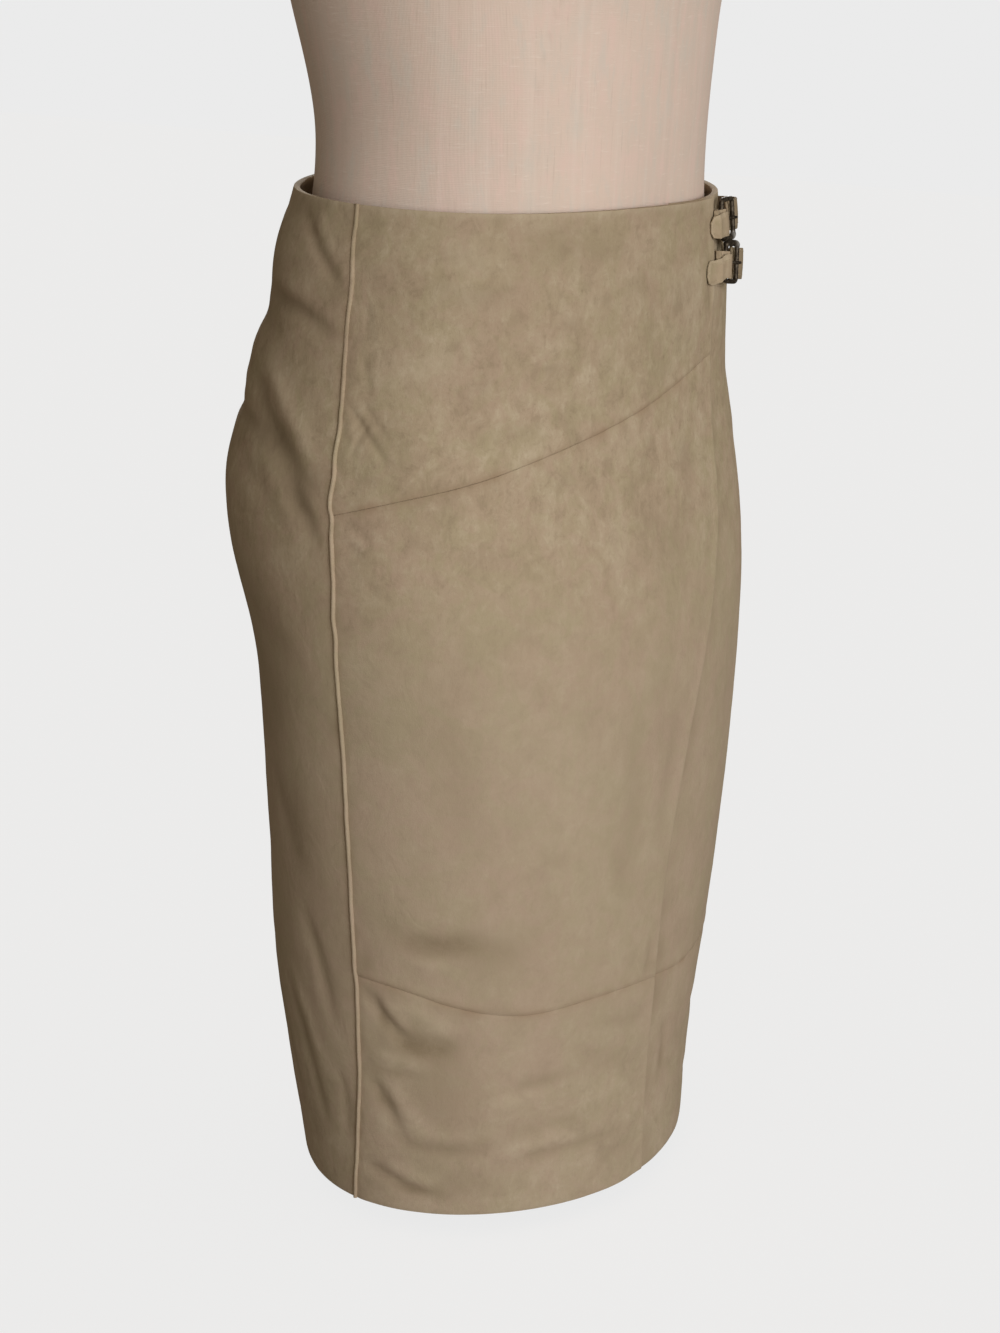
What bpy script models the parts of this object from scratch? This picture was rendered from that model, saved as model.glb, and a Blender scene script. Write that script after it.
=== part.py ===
"""Faux suede pencil skirt with a wrap front, worn by a limbless dress form on a low stand.

Metres, +Z up. The front faces -Y and the wearer's right side faces -X. The origin is the middle
of the stand's underside. Cloth angles are measured round the body from the middle of the front,
in degrees, positive towards the wearer's left, and cloth heights are measured above the hem.
"""
from collections import namedtuple
from math import acos, atan2, cos, exp, hypot, pi, radians, sin, sqrt

import bmesh
import bpy
from mathutils import Vector

# ---------------------------------------------------------------- sizes
hemLift = 0.010            # hem above the table
skirtLength = 0.560
clothWall = 0.0016
seamGap = 0.0004           # between two pieces at a seam
layGap = 0.0005            # between a layer and the one under it
underlapGap = 0.0007       # between the wrap and the left front under it

torsoBottom = 0.300        # above the hem
torsoColumns = 36
poleRadius = 0.016
flangeRadius = 0.030       # under the torso
socketRadius = 0.025       # of the foot's boss
baseRadius = 0.084
baseThickness = 0.007

strapWidth = 0.0132        # at its free end; it is strapSewnWidth where it is sewn
strapSewnWidth = 0.0174
strapLow = 0.0089          # its lower edge below the middle of its frame
strapWall = 0.0013
frameHeight = 0.0234
frameReach = 0.0150        # from one upright bar to the other
wireRadius = 0.0012
prongRadius = 0.0009
tabWidth = 0.0140
tabLow = 0.0082
tabWall = 0.0011
tabReach = 0.0100          # its length beyond the far bar
tabDepth = 0.0100          # its lower layer below the near bar's tangent line

# A section's power says how square it is: 2 is an ellipse.
Section = namedtuple("Section", "height halfWidth front back power")
skirtSections = [
    Section(skirtLength, 0.1330, 0.1040, 0.0990, 2.22),
    Section(0.540, 0.1425, 0.1045, 0.1055, 2.22),
    Section(0.504, 0.1517, 0.1060, 0.1125, 2.22),
    Section(0.465, 0.1585, 0.1052, 0.1230, 2.22),
    Section(0.426, 0.1675, 0.1080, 0.1340, 2.22),
    Section(0.381, 0.1717, 0.1162, 0.1365, 2.22),
    Section(0.325, 0.1698, 0.1222, 0.1200, 2.20),
    Section(0.269, 0.1640, 0.1225, 0.1130, 2.16),
    Section(0.202, 0.1575, 0.1210, 0.1155, 2.10),
    Section(0.123, 0.1470, 0.1168, 0.1190, 2.03),
    Section(0.056, 0.1388, 0.1110, 0.1130, 1.97),
    Section(0.000, 0.1335, 0.1100, 0.1040, 1.93),
]

# Sections of the form, by the same measures. The skirt hangs on its hips.
torsoSections = [
    Section(0.300, 0.1400, 0.0980, 0.0960, 2.20),
    Section(0.312, 0.1570, 0.1090, 0.1080, 2.20),
    Section(0.345, 0.1672, 0.1135, 0.1200, 2.20),
    Section(0.381, 0.1690, 0.1103, 0.1340, 2.20),
    Section(0.426, 0.1635, 0.1030, 0.1290, 2.20),
    Section(0.465, 0.1530, 0.0990, 0.1150, 2.20),
    Section(0.504, 0.1420, 0.0970, 0.1020, 2.20),
    Section(0.540, 0.1290, 0.0962, 0.0935, 2.20),
    Section(0.560, 0.1235, 0.0966, 0.0912, 2.20),
    Section(0.588, 0.1210, 0.0982, 0.0900, 2.20),
    Section(0.610, 0.1228, 0.0992, 0.0930, 2.20),
    Section(0.635, 0.1265, 0.1003, 0.0995, 2.20),
    Section(0.663, 0.1310, 0.1010, 0.1085, 2.20),
    Section(0.700, 0.1360, 0.1045, 0.1145, 2.20),
    Section(0.740, 0.1400, 0.1090, 0.1170, 2.20),
    Section(0.775, 0.1430, 0.1100, 0.1175, 2.20),
    Section(0.810, 0.1490, 0.1060, 0.1165, 2.20),
    Section(0.845, 0.1570, 0.0980, 0.1130, 2.20),
    Section(0.880, 0.1640, 0.0860, 0.1070, 2.20),
    Section(0.910, 0.1660, 0.0740, 0.1000, 2.20),
    Section(0.935, 0.1580, 0.0640, 0.0900, 2.20),
    Section(0.955, 0.1370, 0.0570, 0.0790, 2.20),
    Section(0.972, 0.1080, 0.0520, 0.0690, 2.20),
    Section(0.986, 0.0800, 0.0490, 0.0610, 2.20),
    Section(1.000, 0.0640, 0.0475, 0.0560, 2.20),
    Section(1.020, 0.0570, 0.0465, 0.0520, 2.20),
    Section(1.045, 0.0540, 0.0460, 0.0500, 2.20),
]
armholeCut = 0.1520        # the flat where an arm would start, from the middle
armholeHeight = 0.872      # its middle, above the hem
armholeBack = 0.012        # its middle, behind the axis
plateHalfDepth, plateHalfHeight, plateWall = 0.040, 0.047, 0.0040
meshGap = 0.0004           # between pieces of the form and its stand

AngleRow = namedtuple("AngleRow", "height angle")
# Side seam, which leans to the back at the waist and the hem. The left one mirrors it.
sideSeamRows = [
    AngleRow(skirtLength, -92.6), AngleRow(0.535, -92.0), AngleRow(0.495, -90.9), AngleRow(0.420, -90.2),
    AngleRow(0.360, -89.2), AngleRow(0.240, -88.6), AngleRow(0.160, -89.2), AngleRow(0.100, -90.0),
    AngleRow(0.040, -92.4), AngleRow(0.000, -94.4),
]
# Free edge of the wrap: straight down from the left waist, then across to the right of the middle.
wrapEdgeRows = [
    AngleRow(skirtLength, 27.0), AngleRow(0.500, 26.4), AngleRow(0.440, 25.8), AngleRow(0.390, 22.8),
    AngleRow(0.340, 14.0), AngleRow(0.285, 4.5), AngleRow(0.235, -2.5), AngleRow(0.190, -6.8),
    AngleRow(0.140, -7.8), AngleRow(0.060, -6.4), AngleRow(0.000, -6.0),
]
underlapReach = 27.0       # degrees of left front hidden under the wrap

HeightRow = namedtuple("HeightRow", "angle height")
yokeSeamRows = [
    HeightRow(-90.0, 0.408), HeightRow(-78.0, 0.418), HeightRow(-64.0, 0.427), HeightRow(-50.0, 0.437),
    HeightRow(-35.0, 0.445), HeightRow(-18.0, 0.452), HeightRow(0.0, 0.460), HeightRow(27.0, 0.471),
]
# The waist edge dips at the front, and the hem with it.
waistRows = [
    HeightRow(-180.0, 0.5625), HeightRow(-110.0, 0.5620), HeightRow(-70.0, 0.5605), HeightRow(-20.0, 0.5585),
    HeightRow(35.0, 0.5550), HeightRow(80.0, 0.5566), HeightRow(120.0, 0.5605), HeightRow(180.0, 0.5625),
]
hemRows = [
    HeightRow(-180.0, 0.0018), HeightRow(-110.0, 0.0010), HeightRow(-60.0, 0.0000), HeightRow(0.0, -0.0014),
    HeightRow(50.0, -0.0018), HeightRow(110.0, 0.0004), HeightRow(180.0, 0.0018),
]
hemSeamRows = [
    HeightRow(-95.0, 0.148), HeightRow(-78.0, 0.143), HeightRow(-66.0, 0.133), HeightRow(-55.0, 0.127),
    HeightRow(-30.0, 0.128), HeightRow(-10.0, 0.126), HeightRow(6.0, 0.121), HeightRow(24.0, 0.121),
    HeightRow(48.0, 0.126), HeightRow(72.0, 0.137), HeightRow(95.0, 0.148),
]

# Largest folds of the back: a line of (angle, height), the fold's half width, and how far it
# stands out (or dips, when negative) at its middle.
Fold = namedtuple("Fold", "line halfWidth rise")
folds = [
    # right: the roll over the hip and the crease under it, running down to the side seam
    Fold([(-180, 0.486), (-148, 0.482), (-116, 0.474), (-100, 0.456), (-93, 0.432)], 0.0090, 0.0030),
    Fold([(-180, 0.462), (-148, 0.460), (-113, 0.456), (-102, 0.440), (-96, 0.420)], 0.0070, -0.0012),
    Fold([(-172, 0.503), (-146, 0.498), (-122, 0.502), (-108, 0.498)], 0.0100, -0.0036),
    Fold([(-112, 0.552), (-102, 0.534), (-96, 0.522)], 0.0070, -0.0016),
    # left front: the cloth lifted by the pull of the lower strap
    Fold([(24, 0.502), (42, 0.503), (58, 0.500), (78, 0.490)], 0.0150, 0.0026),
    # left: the same strain, lower and shorter
    Fold([(180, 0.486), (152, 0.480), (122, 0.466), (104, 0.440), (97, 0.422)], 0.0095, 0.0026),
    Fold([(180, 0.462), (150, 0.457), (120, 0.446), (106, 0.424)], 0.0070, -0.0010),
    Fold([(170, 0.514), (142, 0.506), (118, 0.498)], 0.0110, -0.0028),
    # lower back: slack cloth between the hips and the hem
    Fold([(-107, 0.176), (-100, 0.128), (-93, 0.074)], 0.0060, 0.0018),
    Fold([(-102, 0.172), (-95, 0.112)], 0.0055, -0.0014),
    Fold([(-160, 0.236), (-128, 0.206), (-112, 0.160)], 0.0120, -0.0016),
    Fold([(112, 0.190), (102, 0.120), (96, 0.060)], 0.0070, 0.0017),
    Fold([(158, 0.220), (132, 0.170), (118, 0.100)], 0.0120, -0.0018),
]


# ---------------------------------------------------------------- measures
def along(rows, key, value, column):
    """Smooth curve through one column of a table, by the column named key."""
    rows = sorted(rows, key=lambda row: getattr(row, key))
    xs = [getattr(row, key) for row in rows]
    ys = [getattr(row, column) for row in rows]
    value = min(max(value, xs[0]), xs[-1])
    i = max(k for k in range(len(xs) - 1) if xs[k] <= value)

    def slope(k):
        if k == 0:
            return (ys[1] - ys[0]) / (xs[1] - xs[0])
        if k == len(xs) - 1:
            return (ys[-1] - ys[-2]) / (xs[-1] - xs[-2])
        before = (ys[k] - ys[k - 1]) / (xs[k] - xs[k - 1])
        after = (ys[k + 1] - ys[k]) / (xs[k + 1] - xs[k])
        share = (xs[k] - xs[k - 1]) / (xs[k + 1] - xs[k - 1])
        return before * (1 - share) + after * share

    step = xs[i + 1] - xs[i]
    t = (value - xs[i]) / step
    a, b = slope(i) * step, slope(i + 1) * step
    return ((2 * t ** 3 - 3 * t ** 2 + 1) * ys[i] + (t ** 3 - 2 * t ** 2 + t) * a
            + (3 * t ** 2 - 2 * t ** 3) * ys[i + 1] + (t ** 3 - t ** 2) * b)


def smooth(low, high, value):
    t = min(max((value - low) / (high - low), 0.0), 1.0)
    return t * t * (3 - 2 * t)


def reach(sections, angle, height):
    """Distance from the axis to a section's edge, in the direction of this angle."""
    across, ahead = sin(radians(angle)), cos(radians(angle))
    wide = along(sections, "height", height, "halfWidth")
    deep = along(sections, "height", height, "front" if ahead > 0 else "back")
    power = along(sections, "height", height, "power")
    return (abs(across / wide) ** power + abs(ahead / deep) ** power) ** (-1 / power)


def foldRise(angle, height):
    """What the folds add at a point of the cloth."""
    rise = 0.0
    for fold in folds:
        best, end = 1.0, 1.0
        pieces = len(fold.line) - 1
        for k in range(pieces):
            (angleA, heightA), (angleB, heightB) = fold.line[k], fold.line[k + 1]
            perDegree = 0.0024
            bx, by = (angleB - angleA) * perDegree, heightB - heightA
            px, py = (angle - angleA) * perDegree, height - heightA
            t = min(max((px * bx + py * by) / (bx * bx + by * by), 0.0), 1.0)
            away = hypot(px - t * bx, py - t * by)
            if away < best:
                best, place = away, (k + t) / pieces
                startsAtBack = abs(fold.line[0][0]) == 180
                end = smooth(1.02, 0.72, place) * (1.0 if startsAtBack else smooth(-0.02, 0.28, place))
        rise += fold.rise * end * exp(-(best / fold.halfWidth) ** 2)
    return rise


def clothPoint(angle, height, out=0.0):
    """A point of the skirt's outer face, moved out from the body by out."""
    turn = (angle + 180) % 360 - 180
    distance = reach(skirtSections, turn, height) + foldRise(turn, height) + out
    return Vector((distance * sin(radians(angle)), -distance * cos(radians(angle)), hemLift + height))


def edgeHeight(rows, angle):
    return along(rows, "angle", (angle + 180) % 360 - 180, "height")


def rightSeam(height):
    return along(sideSeamRows, "height", height, "angle")


def wrapEdge(height):
    return along(wrapEdgeRows, "height", height, "angle")


def degreesFor(length, height):
    """The angle that a length along the cloth takes up at the side of the body."""
    return length / reach(skirtSections, -90, height) * 180 / pi


# ---------------------------------------------------------------- scene and helpers
for old in list(bpy.data.objects):
    bpy.data.objects.remove(old, do_unlink=True)

partCollection = bpy.data.collections.new("pencil_skirt_on_dress_form")
cutterCollection = bpy.data.collections.new("cutters")
bpy.context.scene.collection.children.link(partCollection)
bpy.context.scene.collection.children.link(cutterCollection)
root = bpy.data.objects.new("pencil_skirt_root", None)
partCollection.objects.link(root)


def material(name, colour, roughness, metallic=0.0):
    made = bpy.data.materials.new(name)
    made.use_nodes = True
    shader = made.node_tree.nodes["Principled BSDF"]
    shader.inputs["Base Color"].default_value = (*colour, 1)
    shader.inputs["Roughness"].default_value = roughness
    shader.inputs["Metallic"].default_value = metallic
    return made


suede = material("faux_suede", (0.37, 0.29, 0.175), 0.95)
linen = material("linen_cover", (0.64, 0.50, 0.41), 0.9)
darkMetal = material("antique_metal", (0.09, 0.075, 0.055), 0.38, 1.0)
blackSteel = material("stand_steel", (0.03, 0.03, 0.032), 0.45, 0.9)
wood = material("turned_wood", (0.30, 0.17, 0.08), 0.5)


def addObject(name, data, look, collection=partCollection):
    made = bpy.data.objects.new(name, data)
    if look is not None:
        data.materials.append(look)
    collection.objects.link(made)
    if collection is partCollection:
        made.parent = root
    return made


def gridSheet(name, columns, rows, place, look, wall=clothWall, side=-1.0):
    """A grid laid out by place(u, v), both from 0 to 1, then given its thickness."""
    mesh = bpy.data.meshes.new(name)
    bm = bmesh.new()
    bmesh.ops.create_grid(bm, x_segments=columns, y_segments=rows, size=0.5)
    for vert in bm.verts:
        vert.co = place(vert.co.x + 0.5, vert.co.y + 0.5)
    bm.to_mesh(mesh)
    bm.free()
    mesh.shade_smooth()
    mesh.set_sharp_from_angle(angle=radians(40))
    made = addObject(name, mesh, look)
    thick = made.modifiers.new("thickness", "SOLIDIFY")
    thick.thickness = wall
    thick.offset = side
    thick.use_even_offset = True
    return made


# ---------------------------------------------------------------- skirt panels
def panel(name, columns, rows, leftEdge, rightEdge, bottom, top, out=None, spread=None):
    """A cloth piece between two edges (angle by height) and two seams (height by place across)."""
    def place(u, v):
        low, high = bottom(u), top(u)
        height = low + (spread(v) if spread else v) * (high - low)
        angle = leftEdge(height) + u * (rightEdge(height) - leftEdge(height))
        return clothPoint(angle, height, out(angle, height) if out else 0.0)
    return gridSheet(name, columns, rows, place, suede)


def halfSeam(height):
    return degreesFor(seamGap / 2, height)


def frontAngle(u, height):
    return rightSeam(height) + u * (wrapEdge(height) - rightSeam(height))


def yokeSeam(u):
    return along(yokeSeamRows, "angle", frontAngle(u, 0.44), "height")


def hemSeam(u):
    return along(hemSeamRows, "angle", frontAngle(u, 0.13), "height")


frontColumns = 16
rightSide = lambda height: rightSeam(height) + halfSeam(height)
wrapSide = wrapEdge
panel("right_front_yoke", frontColumns, 7, rightSide, wrapSide,
      lambda u: yokeSeam(u) + seamGap / 2, lambda u: edgeHeight(waistRows, frontAngle(u, 0.55)))
panel("right_front_panel", frontColumns, 14, rightSide, wrapSide,
      lambda u: hemSeam(u) + seamGap / 2, lambda u: yokeSeam(u) - seamGap / 2)
panel("right_front_hem_panel", frontColumns, 7, rightSide, wrapSide,
      lambda u: edgeHeight(hemRows, frontAngle(u, 0)), lambda u: hemSeam(u) - seamGap / 2)

# The left front runs on under the wrap, one layer in, and comes out to the side seam.
leftSide = lambda height: -rightSeam(height) - halfSeam(height)
underlapSide = lambda height: wrapEdge(height) - underlapReach


def underlapOut(angle, height):
    return -(clothWall + underlapGap) * smooth(86, wrapEdge(height) + 8, angle)


def leftAngle(u, height):
    return underlapSide(height) + u * (leftSide(height) - underlapSide(height))


def leftHemSeam(u):
    return along(hemSeamRows, "angle", leftAngle(u, 0.13), "height")


panel("left_front_panel", 15, 18, underlapSide, leftSide,
      lambda u: leftHemSeam(u) + seamGap / 2, lambda u: edgeHeight(waistRows, leftAngle(u, 0.55)),
      underlapOut)
panel("left_front_hem_panel", 15, 6, underlapSide, leftSide,
      lambda u: edgeHeight(hemRows, leftAngle(u, 0)), lambda u: leftHemSeam(u) - seamGap / 2, underlapOut)

# The back is one piece from side seam to side seam, with closer rows over the hips.
backStart = lambda height: -rightSeam(height) + halfSeam(height)
backEnd = lambda height: 360 + rightSeam(height) - halfSeam(height)
panel("back_panel", 30, 30, backStart, backEnd, lambda u: edgeHeight(hemRows, 90 + 180 * u),
      lambda u: edgeHeight(waistRows, 90 + 180 * u), spread=lambda v: 1.32 * v - 0.32 * v * v)


# ---------------------------------------------------------------- raised side seams
def seamWelt(name, side):
    width, stand = 0.0032, 0.0011

    def place(u, v):
        low, high = edgeHeight(hemRows, -90 * side), edgeHeight(waistRows, -90 * side)
        height = low + v * (high - low)
        angle = side * (rightSeam(height) + degreesFor((u - 0.5) * width, height))
        crown = 0.0006 * (1 - (2 * u - 1) ** 2)
        return clothPoint(angle, height, layGap + crown)
    made = gridSheet(name, 2, 30, place, suede, wall=stand, side=1.0)
    if side < 0:
        made.data.flip_normals()
    return made


seamWelt("right_side_welt", 1)
seamWelt("left_side_welt", -1)


# ---------------------------------------------------------------- straps and buckles
# Ahead is towards the middle of the front. Lean is how upright a frame stands on the sloping cloth.
Closure = namedtuple("Closure", "name height tilt lean baseAngle freeEnd bulge sag")
closures = [
    Closure("upper", 0.5418, 2.0, 0.15, 62.0, 0.0155, 0.0066, 0.0008),
    Closure("lower", 0.5171, 9.0, 0.90, 61.0, 0.0225, 0.0066, 0.0040),
]
barAngle = 38.0            # where the near upright bar stands
barOut = 0.0049            # its middle above the cloth
hingeOut = 0.0020          # and the far bar's, above the near bar's tangent line


def sampled(points, count):
    """Points at even spacing along a path."""
    lengths = [0.0]
    for a, b in zip(points, points[1:]):
        lengths.append(lengths[-1] + (b - a).length)
    result = []
    for k in range(count + 1):
        goal = lengths[-1] * k / count
        i = max(j for j in range(len(lengths) - 1) if lengths[j] <= goal + 1e-12)
        share = (goal - lengths[i]) / (lengths[i + 1] - lengths[i])
        result.append(points[i].lerp(points[i + 1], share))
    return result


def rounded(points, times=2):
    """Corner cutting, which softens a path and keeps its ends."""
    for _ in range(times):
        softer = [points[0]]
        for a, b in zip(points, points[1:]):
            softer += [a.lerp(b, 0.25), a.lerp(b, 0.75)]
        points = softer + [points[-1]]
    return points


def polyCurve(name, points, radius, look, cyclic=False):
    curve = bpy.data.curves.new(name, "CURVE")
    curve.dimensions = "3D"
    curve.bevel_depth = radius
    curve.bevel_resolution = 1
    curve.use_fill_caps = not cyclic
    spline = curve.splines.new("POLY")
    spline.points.add(len(points) - 1)
    for place, point in zip(spline.points, points):
        place.co = (*point, 1)
    spline.use_cyclic_u = cyclic
    return addObject(name, curve, look)


for closure in closures:
    # Local directions at the near bar: along round the body, out of the cloth, and up.
    seat = clothPoint(barAngle, closure.height)
    forward = (clothPoint(barAngle - 2, closure.height) - clothPoint(barAngle + 2, closure.height)).normalized()
    slope = clothPoint(barAngle, closure.height + 0.008) - clothPoint(barAngle, closure.height - 0.008)
    upward = slope.normalized().lerp(Vector((0, 0, 1)), closure.lean).normalized()
    outward = upward.cross(forward).normalized()
    tilt = radians(closure.tilt)
    lengthwise = forward * cos(tilt) + upward * sin(tilt)
    widthwise = upward * cos(tilt) - forward * sin(tilt)

    def local(ahead, out, up=0.0):
        return seat + lengthwise * ahead + outward * out + widthwise * up

    def clothOut(ahead):
        """The wrap's outer face above the near bar's tangent line, this far ahead."""
        best = min((abs((clothPoint(a / 4, closure.height) - seat).dot(forward) - ahead), a / 4)
                   for a in range(40, 360))
        return (clothPoint(best[1], closure.height) - seat).dot(outward)

    def clear(point, least):
        """The point, moved out where it is nearer than this to the cloth under it."""
        angle, height = atan2(point.x, -point.y) * 180 / pi, point.z - hemLift
        under = underlapOut(angle, height) if angle > wrapEdge(height) + 1.5 else 0.0
        above = hypot(point.x, point.y) - (clothPoint(angle, height, under).xy).length
        return point + outward * max(0.0, least - above)

    def band(name, path, width, low, wall, count, least, taper=0.0, softening=2, sag=0.0):
        """A strap along a path given as (ahead, out), tapering to a blunt point over its last part."""
        spine = sampled(rounded([Vector((a, o, 0)) for a, o in path], softening), count)
        total = sum((b - a).length for a, b in zip(spine, spine[1:]))

        def place(u, v):
            here = spine[round(u * count)]
            narrow = 1.0
            if taper:
                narrow = 1 - 0.62 * max(0.0, (u * total - (total - taper)) / taper)
            wide = width(here.x)
            under = low + sag * smooth(frameReach + 0.004, frameReach + 0.016, here.x)
            return clear(local(here.x, here.y, wide / 2 - under + (v - 0.5) * wide * narrow), least(u, here.x))
        return gridSheet(name, count, 2, place, suede, wall=wall, side=0.0)

    def cutter(name, target, middle, halfLength, halfWidth, halfDepth, segments):
        """A slot through a band, its middle given as (ahead, out)."""
        bm = bmesh.new()
        bmesh.ops.create_cone(bm, cap_ends=True, segments=segments, radius1=1.0, radius2=1.0, depth=2.0)
        for vert in bm.verts:
            vert.co = local(middle[0] + vert.co.x * halfLength, middle[1] + vert.co.z * halfDepth,
                            vert.co.y * halfWidth)
        bm.normal_update()
        bmesh.ops.recalc_face_normals(bm, faces=bm.faces)
        cutMesh = bpy.data.meshes.new(name)
        bm.to_mesh(cutMesh)
        bm.free()
        made = addObject(name, cutMesh, None, cutterCollection)
        made.hide_render = True
        made.display_type = "WIRE"
        cut = target.modifiers.new("slot", "BOOLEAN")
        cut.operation = "DIFFERENCE"
        cut.object = made

    # The strap is sewn on the left front, bulges out, passes behind the near bar and over the far
    # one, and its free end lies on the tab.
    baseStart = (clothPoint(closure.baseAngle, closure.height) - seat).dot(forward)
    strapPath = [(baseStart + 0.0040 * k, clothOut(baseStart + 0.0040 * k) - 0.0030) for k in range(3)]
    strapPath += [(-0.0330, 0.0040), (-0.0250, closure.bulge * 0.75), (-0.0180, closure.bulge * 0.98),
                  (-0.0120, closure.bulge * 0.94), (-0.0070, closure.bulge * 0.70), (-0.0030, 0.0032),
                  (0.0005, 0.0023), (0.0045, 0.0032), (0.0090, 0.0048), (0.0150, hingeOut + 0.0040),
                  (0.0205, hingeOut + 0.0024)]
    for back in (0.0040, 0.0020, 0.0):
        ahead = frameReach + closure.freeEnd - back
        strapPath.append((ahead, clothOut(ahead) + 0.0012))
    onCloth = 2 * seamGap + strapWall / 2
    overTab = 2 * tabWall + layGap + 3 * seamGap
    tabEnd = frameReach + tabReach
    strap = band(f"strap_{closure.name}", strapPath,
                 lambda ahead: strapWidth + (strapSewnWidth - strapWidth) * smooth(0.012, 0.003, ahead),
                 strapLow, strapWall, 40,
                 lambda u, ahead: onCloth + overTab * min(smooth(0.010, 0.014, ahead),
                                                          smooth(tabEnd + 0.004, tabEnd + 0.001, ahead)),
                 taper=0.003, sag=closure.sag)

    # Buckle: a rounded frame of wire, its near bar in front of the strap and its far bar behind it.
    nearBar = (0.0, barOut)
    farBar = (frameReach, hingeOut)
    corner = 0.0024
    outline = []
    for sideA, sideB, start in ((0, 1, 180), (1, 1, 90), (1, -1, 0), (0, -1, -90)):
        for k in range(5):
            turn = radians(start - 90 * k / 4)
            ahead = (frameReach - corner if sideA else corner) + corner * cos(turn)
            up = sideB * (frameHeight / 2 - corner - wireRadius) + corner * sin(turn)
            share = ahead / frameReach
            outline.append(local(ahead, nearBar[1] + (farBar[1] - nearBar[1]) * share, up))
    polyCurve(f"buckle_frame_{closure.name}", outline, wireRadius, darkMetal, cyclic=True)

    # Prong: from the far bar through the strap, its tip resting on the near bar.
    prongRoot = frameReach - wireRadius - prongRadius - 0.0004
    prongPath = [(prongRoot, hingeOut + 0.0004), (0.0110, 0.0016), (0.0086, 0.0032), (0.0056, 0.0056),
                 (0.0030, barOut + 0.0022), (0.0004, barOut + 0.0026), (-0.0026, barOut + 0.0020)]
    prong = sampled(rounded([Vector((a, o, 0)) for a, o in prongPath]), 12)
    polyCurve(f"buckle_prong_{closure.name}", [local(p.x, p.y) for p in prong], prongRadius, darkMetal)
    cutter(f"prong_hole_{closure.name}", strap, (0.0076, 0.0050), 0.0030, 0.0014, 0.0050, 16)

    # Tab: folded round the far bar, with a slot for the prong, both layers sewn to the wrap's edge.
    loop = wireRadius + 0.0004 + tabWall / 2
    lower = [(frameReach + tabReach, -tabDepth), (frameReach + 0.0070, -0.0030), (frameReach + 0.0040, -0.0012)]
    upper = [(frameReach + 0.0040, 0.0020), (frameReach + 0.0070, 0.0004),
             (frameReach + tabReach, tabWall - tabDepth)]
    turnPoints = [(farBar[0] + loop * cos(radians(d)), farBar[1] + loop * sin(radians(d)))
                  for d in range(-90, -331, -30)]
    tabPath = lower + turnPoints + upper
    resting = seamGap + tabWall / 2 + 0.0001
    tab = band(f"buckle_tab_{closure.name}", tabPath, lambda ahead: tabWidth, tabLow, tabWall, 40,
               lambda u, ahead: resting + (tabWall + 0.0005) * smooth(0.42, 0.54, u),
               softening=1)
    cutter(f"prong_slot_{closure.name}", tab, (frameReach - 0.0016, hingeOut), 0.0045, 0.0016, 0.0060, 4)


# ---------------------------------------------------------------- dress form
bustHeight, bustAngle, bustRise = 0.770, 33.0, 0.023


def torsoPoint(angle, height, out=0.0):
    turn = (angle + 180) % 360 - 180
    distance = reach(torsoSections, turn, height) + out
    for side in (-1, 1):
        away = hypot((turn - side * bustAngle) / 25.0, (height - bustHeight) / 0.060)
        distance += bustRise * exp(-away ** 2)
    across = distance * sin(radians(angle))
    nearArm = smooth(0.79, 0.82, height) * smooth(0.955, 0.93, height)
    if nearArm > 0:
        # Inwards to the flat of the arm's cut.
        limit = armholeCut + (1 - nearArm) * 0.03
        across = min(max(across, -limit), limit)
    return Vector((across, -distance * cos(radians(angle)), hemLift + height))


torsoRings = sorted({row.height for row in torsoSections} | {0.306, 0.362, 0.403, 0.828, 0.862, 0.896, 0.922})
mesh = bpy.data.meshes.new("form_torso")
bm = bmesh.new()
bmesh.ops.create_uvsphere(bm, u_segments=torsoColumns, v_segments=len(torsoRings) + 1, radius=1.0)
for vert in bm.verts:
    ring = round((pi - acos(max(-1.0, min(1.0, vert.co.z)))) / pi * (len(torsoRings) + 1))
    angle = atan2(vert.co.x, -vert.co.y) * 180 / pi
    if ring == 0:
        vert.co = Vector((0, 0, hemLift + torsoRings[0]))
    elif ring == len(torsoRings) + 1:
        vert.co = Vector((0, 0, hemLift + torsoRings[-1]))
    else:
        vert.co = torsoPoint(angle, torsoRings[ring - 1])
bm.to_mesh(mesh)
bm.free()
mesh.shade_smooth()
mesh.set_sharp_from_angle(angle=radians(45))
addObject("form_torso", mesh, linen)


def turned(name, profile, look, steps=24):
    """Profile points (radius, height), from the top of the axis down the outer side to its foot."""
    mesh = bpy.data.meshes.new(name)
    mesh.from_pydata([(radius, 0, height) for radius, height in profile],
                     [(k, k + 1) for k in range(len(profile) - 1)], [])
    made = addObject(name, mesh, look)
    screw = made.modifiers.new("turn", "SCREW")
    screw.steps = screw.render_steps = steps
    screw.use_merge_vertices = True
    screw.merge_threshold = 0.00005
    screw.use_smooth_shade = True
    return made


neckTop = hemLift + torsoSections[-1].height
turned("form_neck_cap", [
    (0, neckTop + 0.0440), (0.006, neckTop + 0.0430), (0.0105, neckTop + 0.0385), (0.0115, neckTop + 0.0330),
    (0.0090, neckTop + 0.0270), (0.0070, neckTop + 0.0220), (0.0100, neckTop + 0.0180),
    (0.0300, neckTop + 0.0140), (0.0440, neckTop + 0.0090), (0.0480, neckTop + 0.0050),
    (0.0480, neckTop + meshGap), (0, neckTop + meshGap)], wood)

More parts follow.
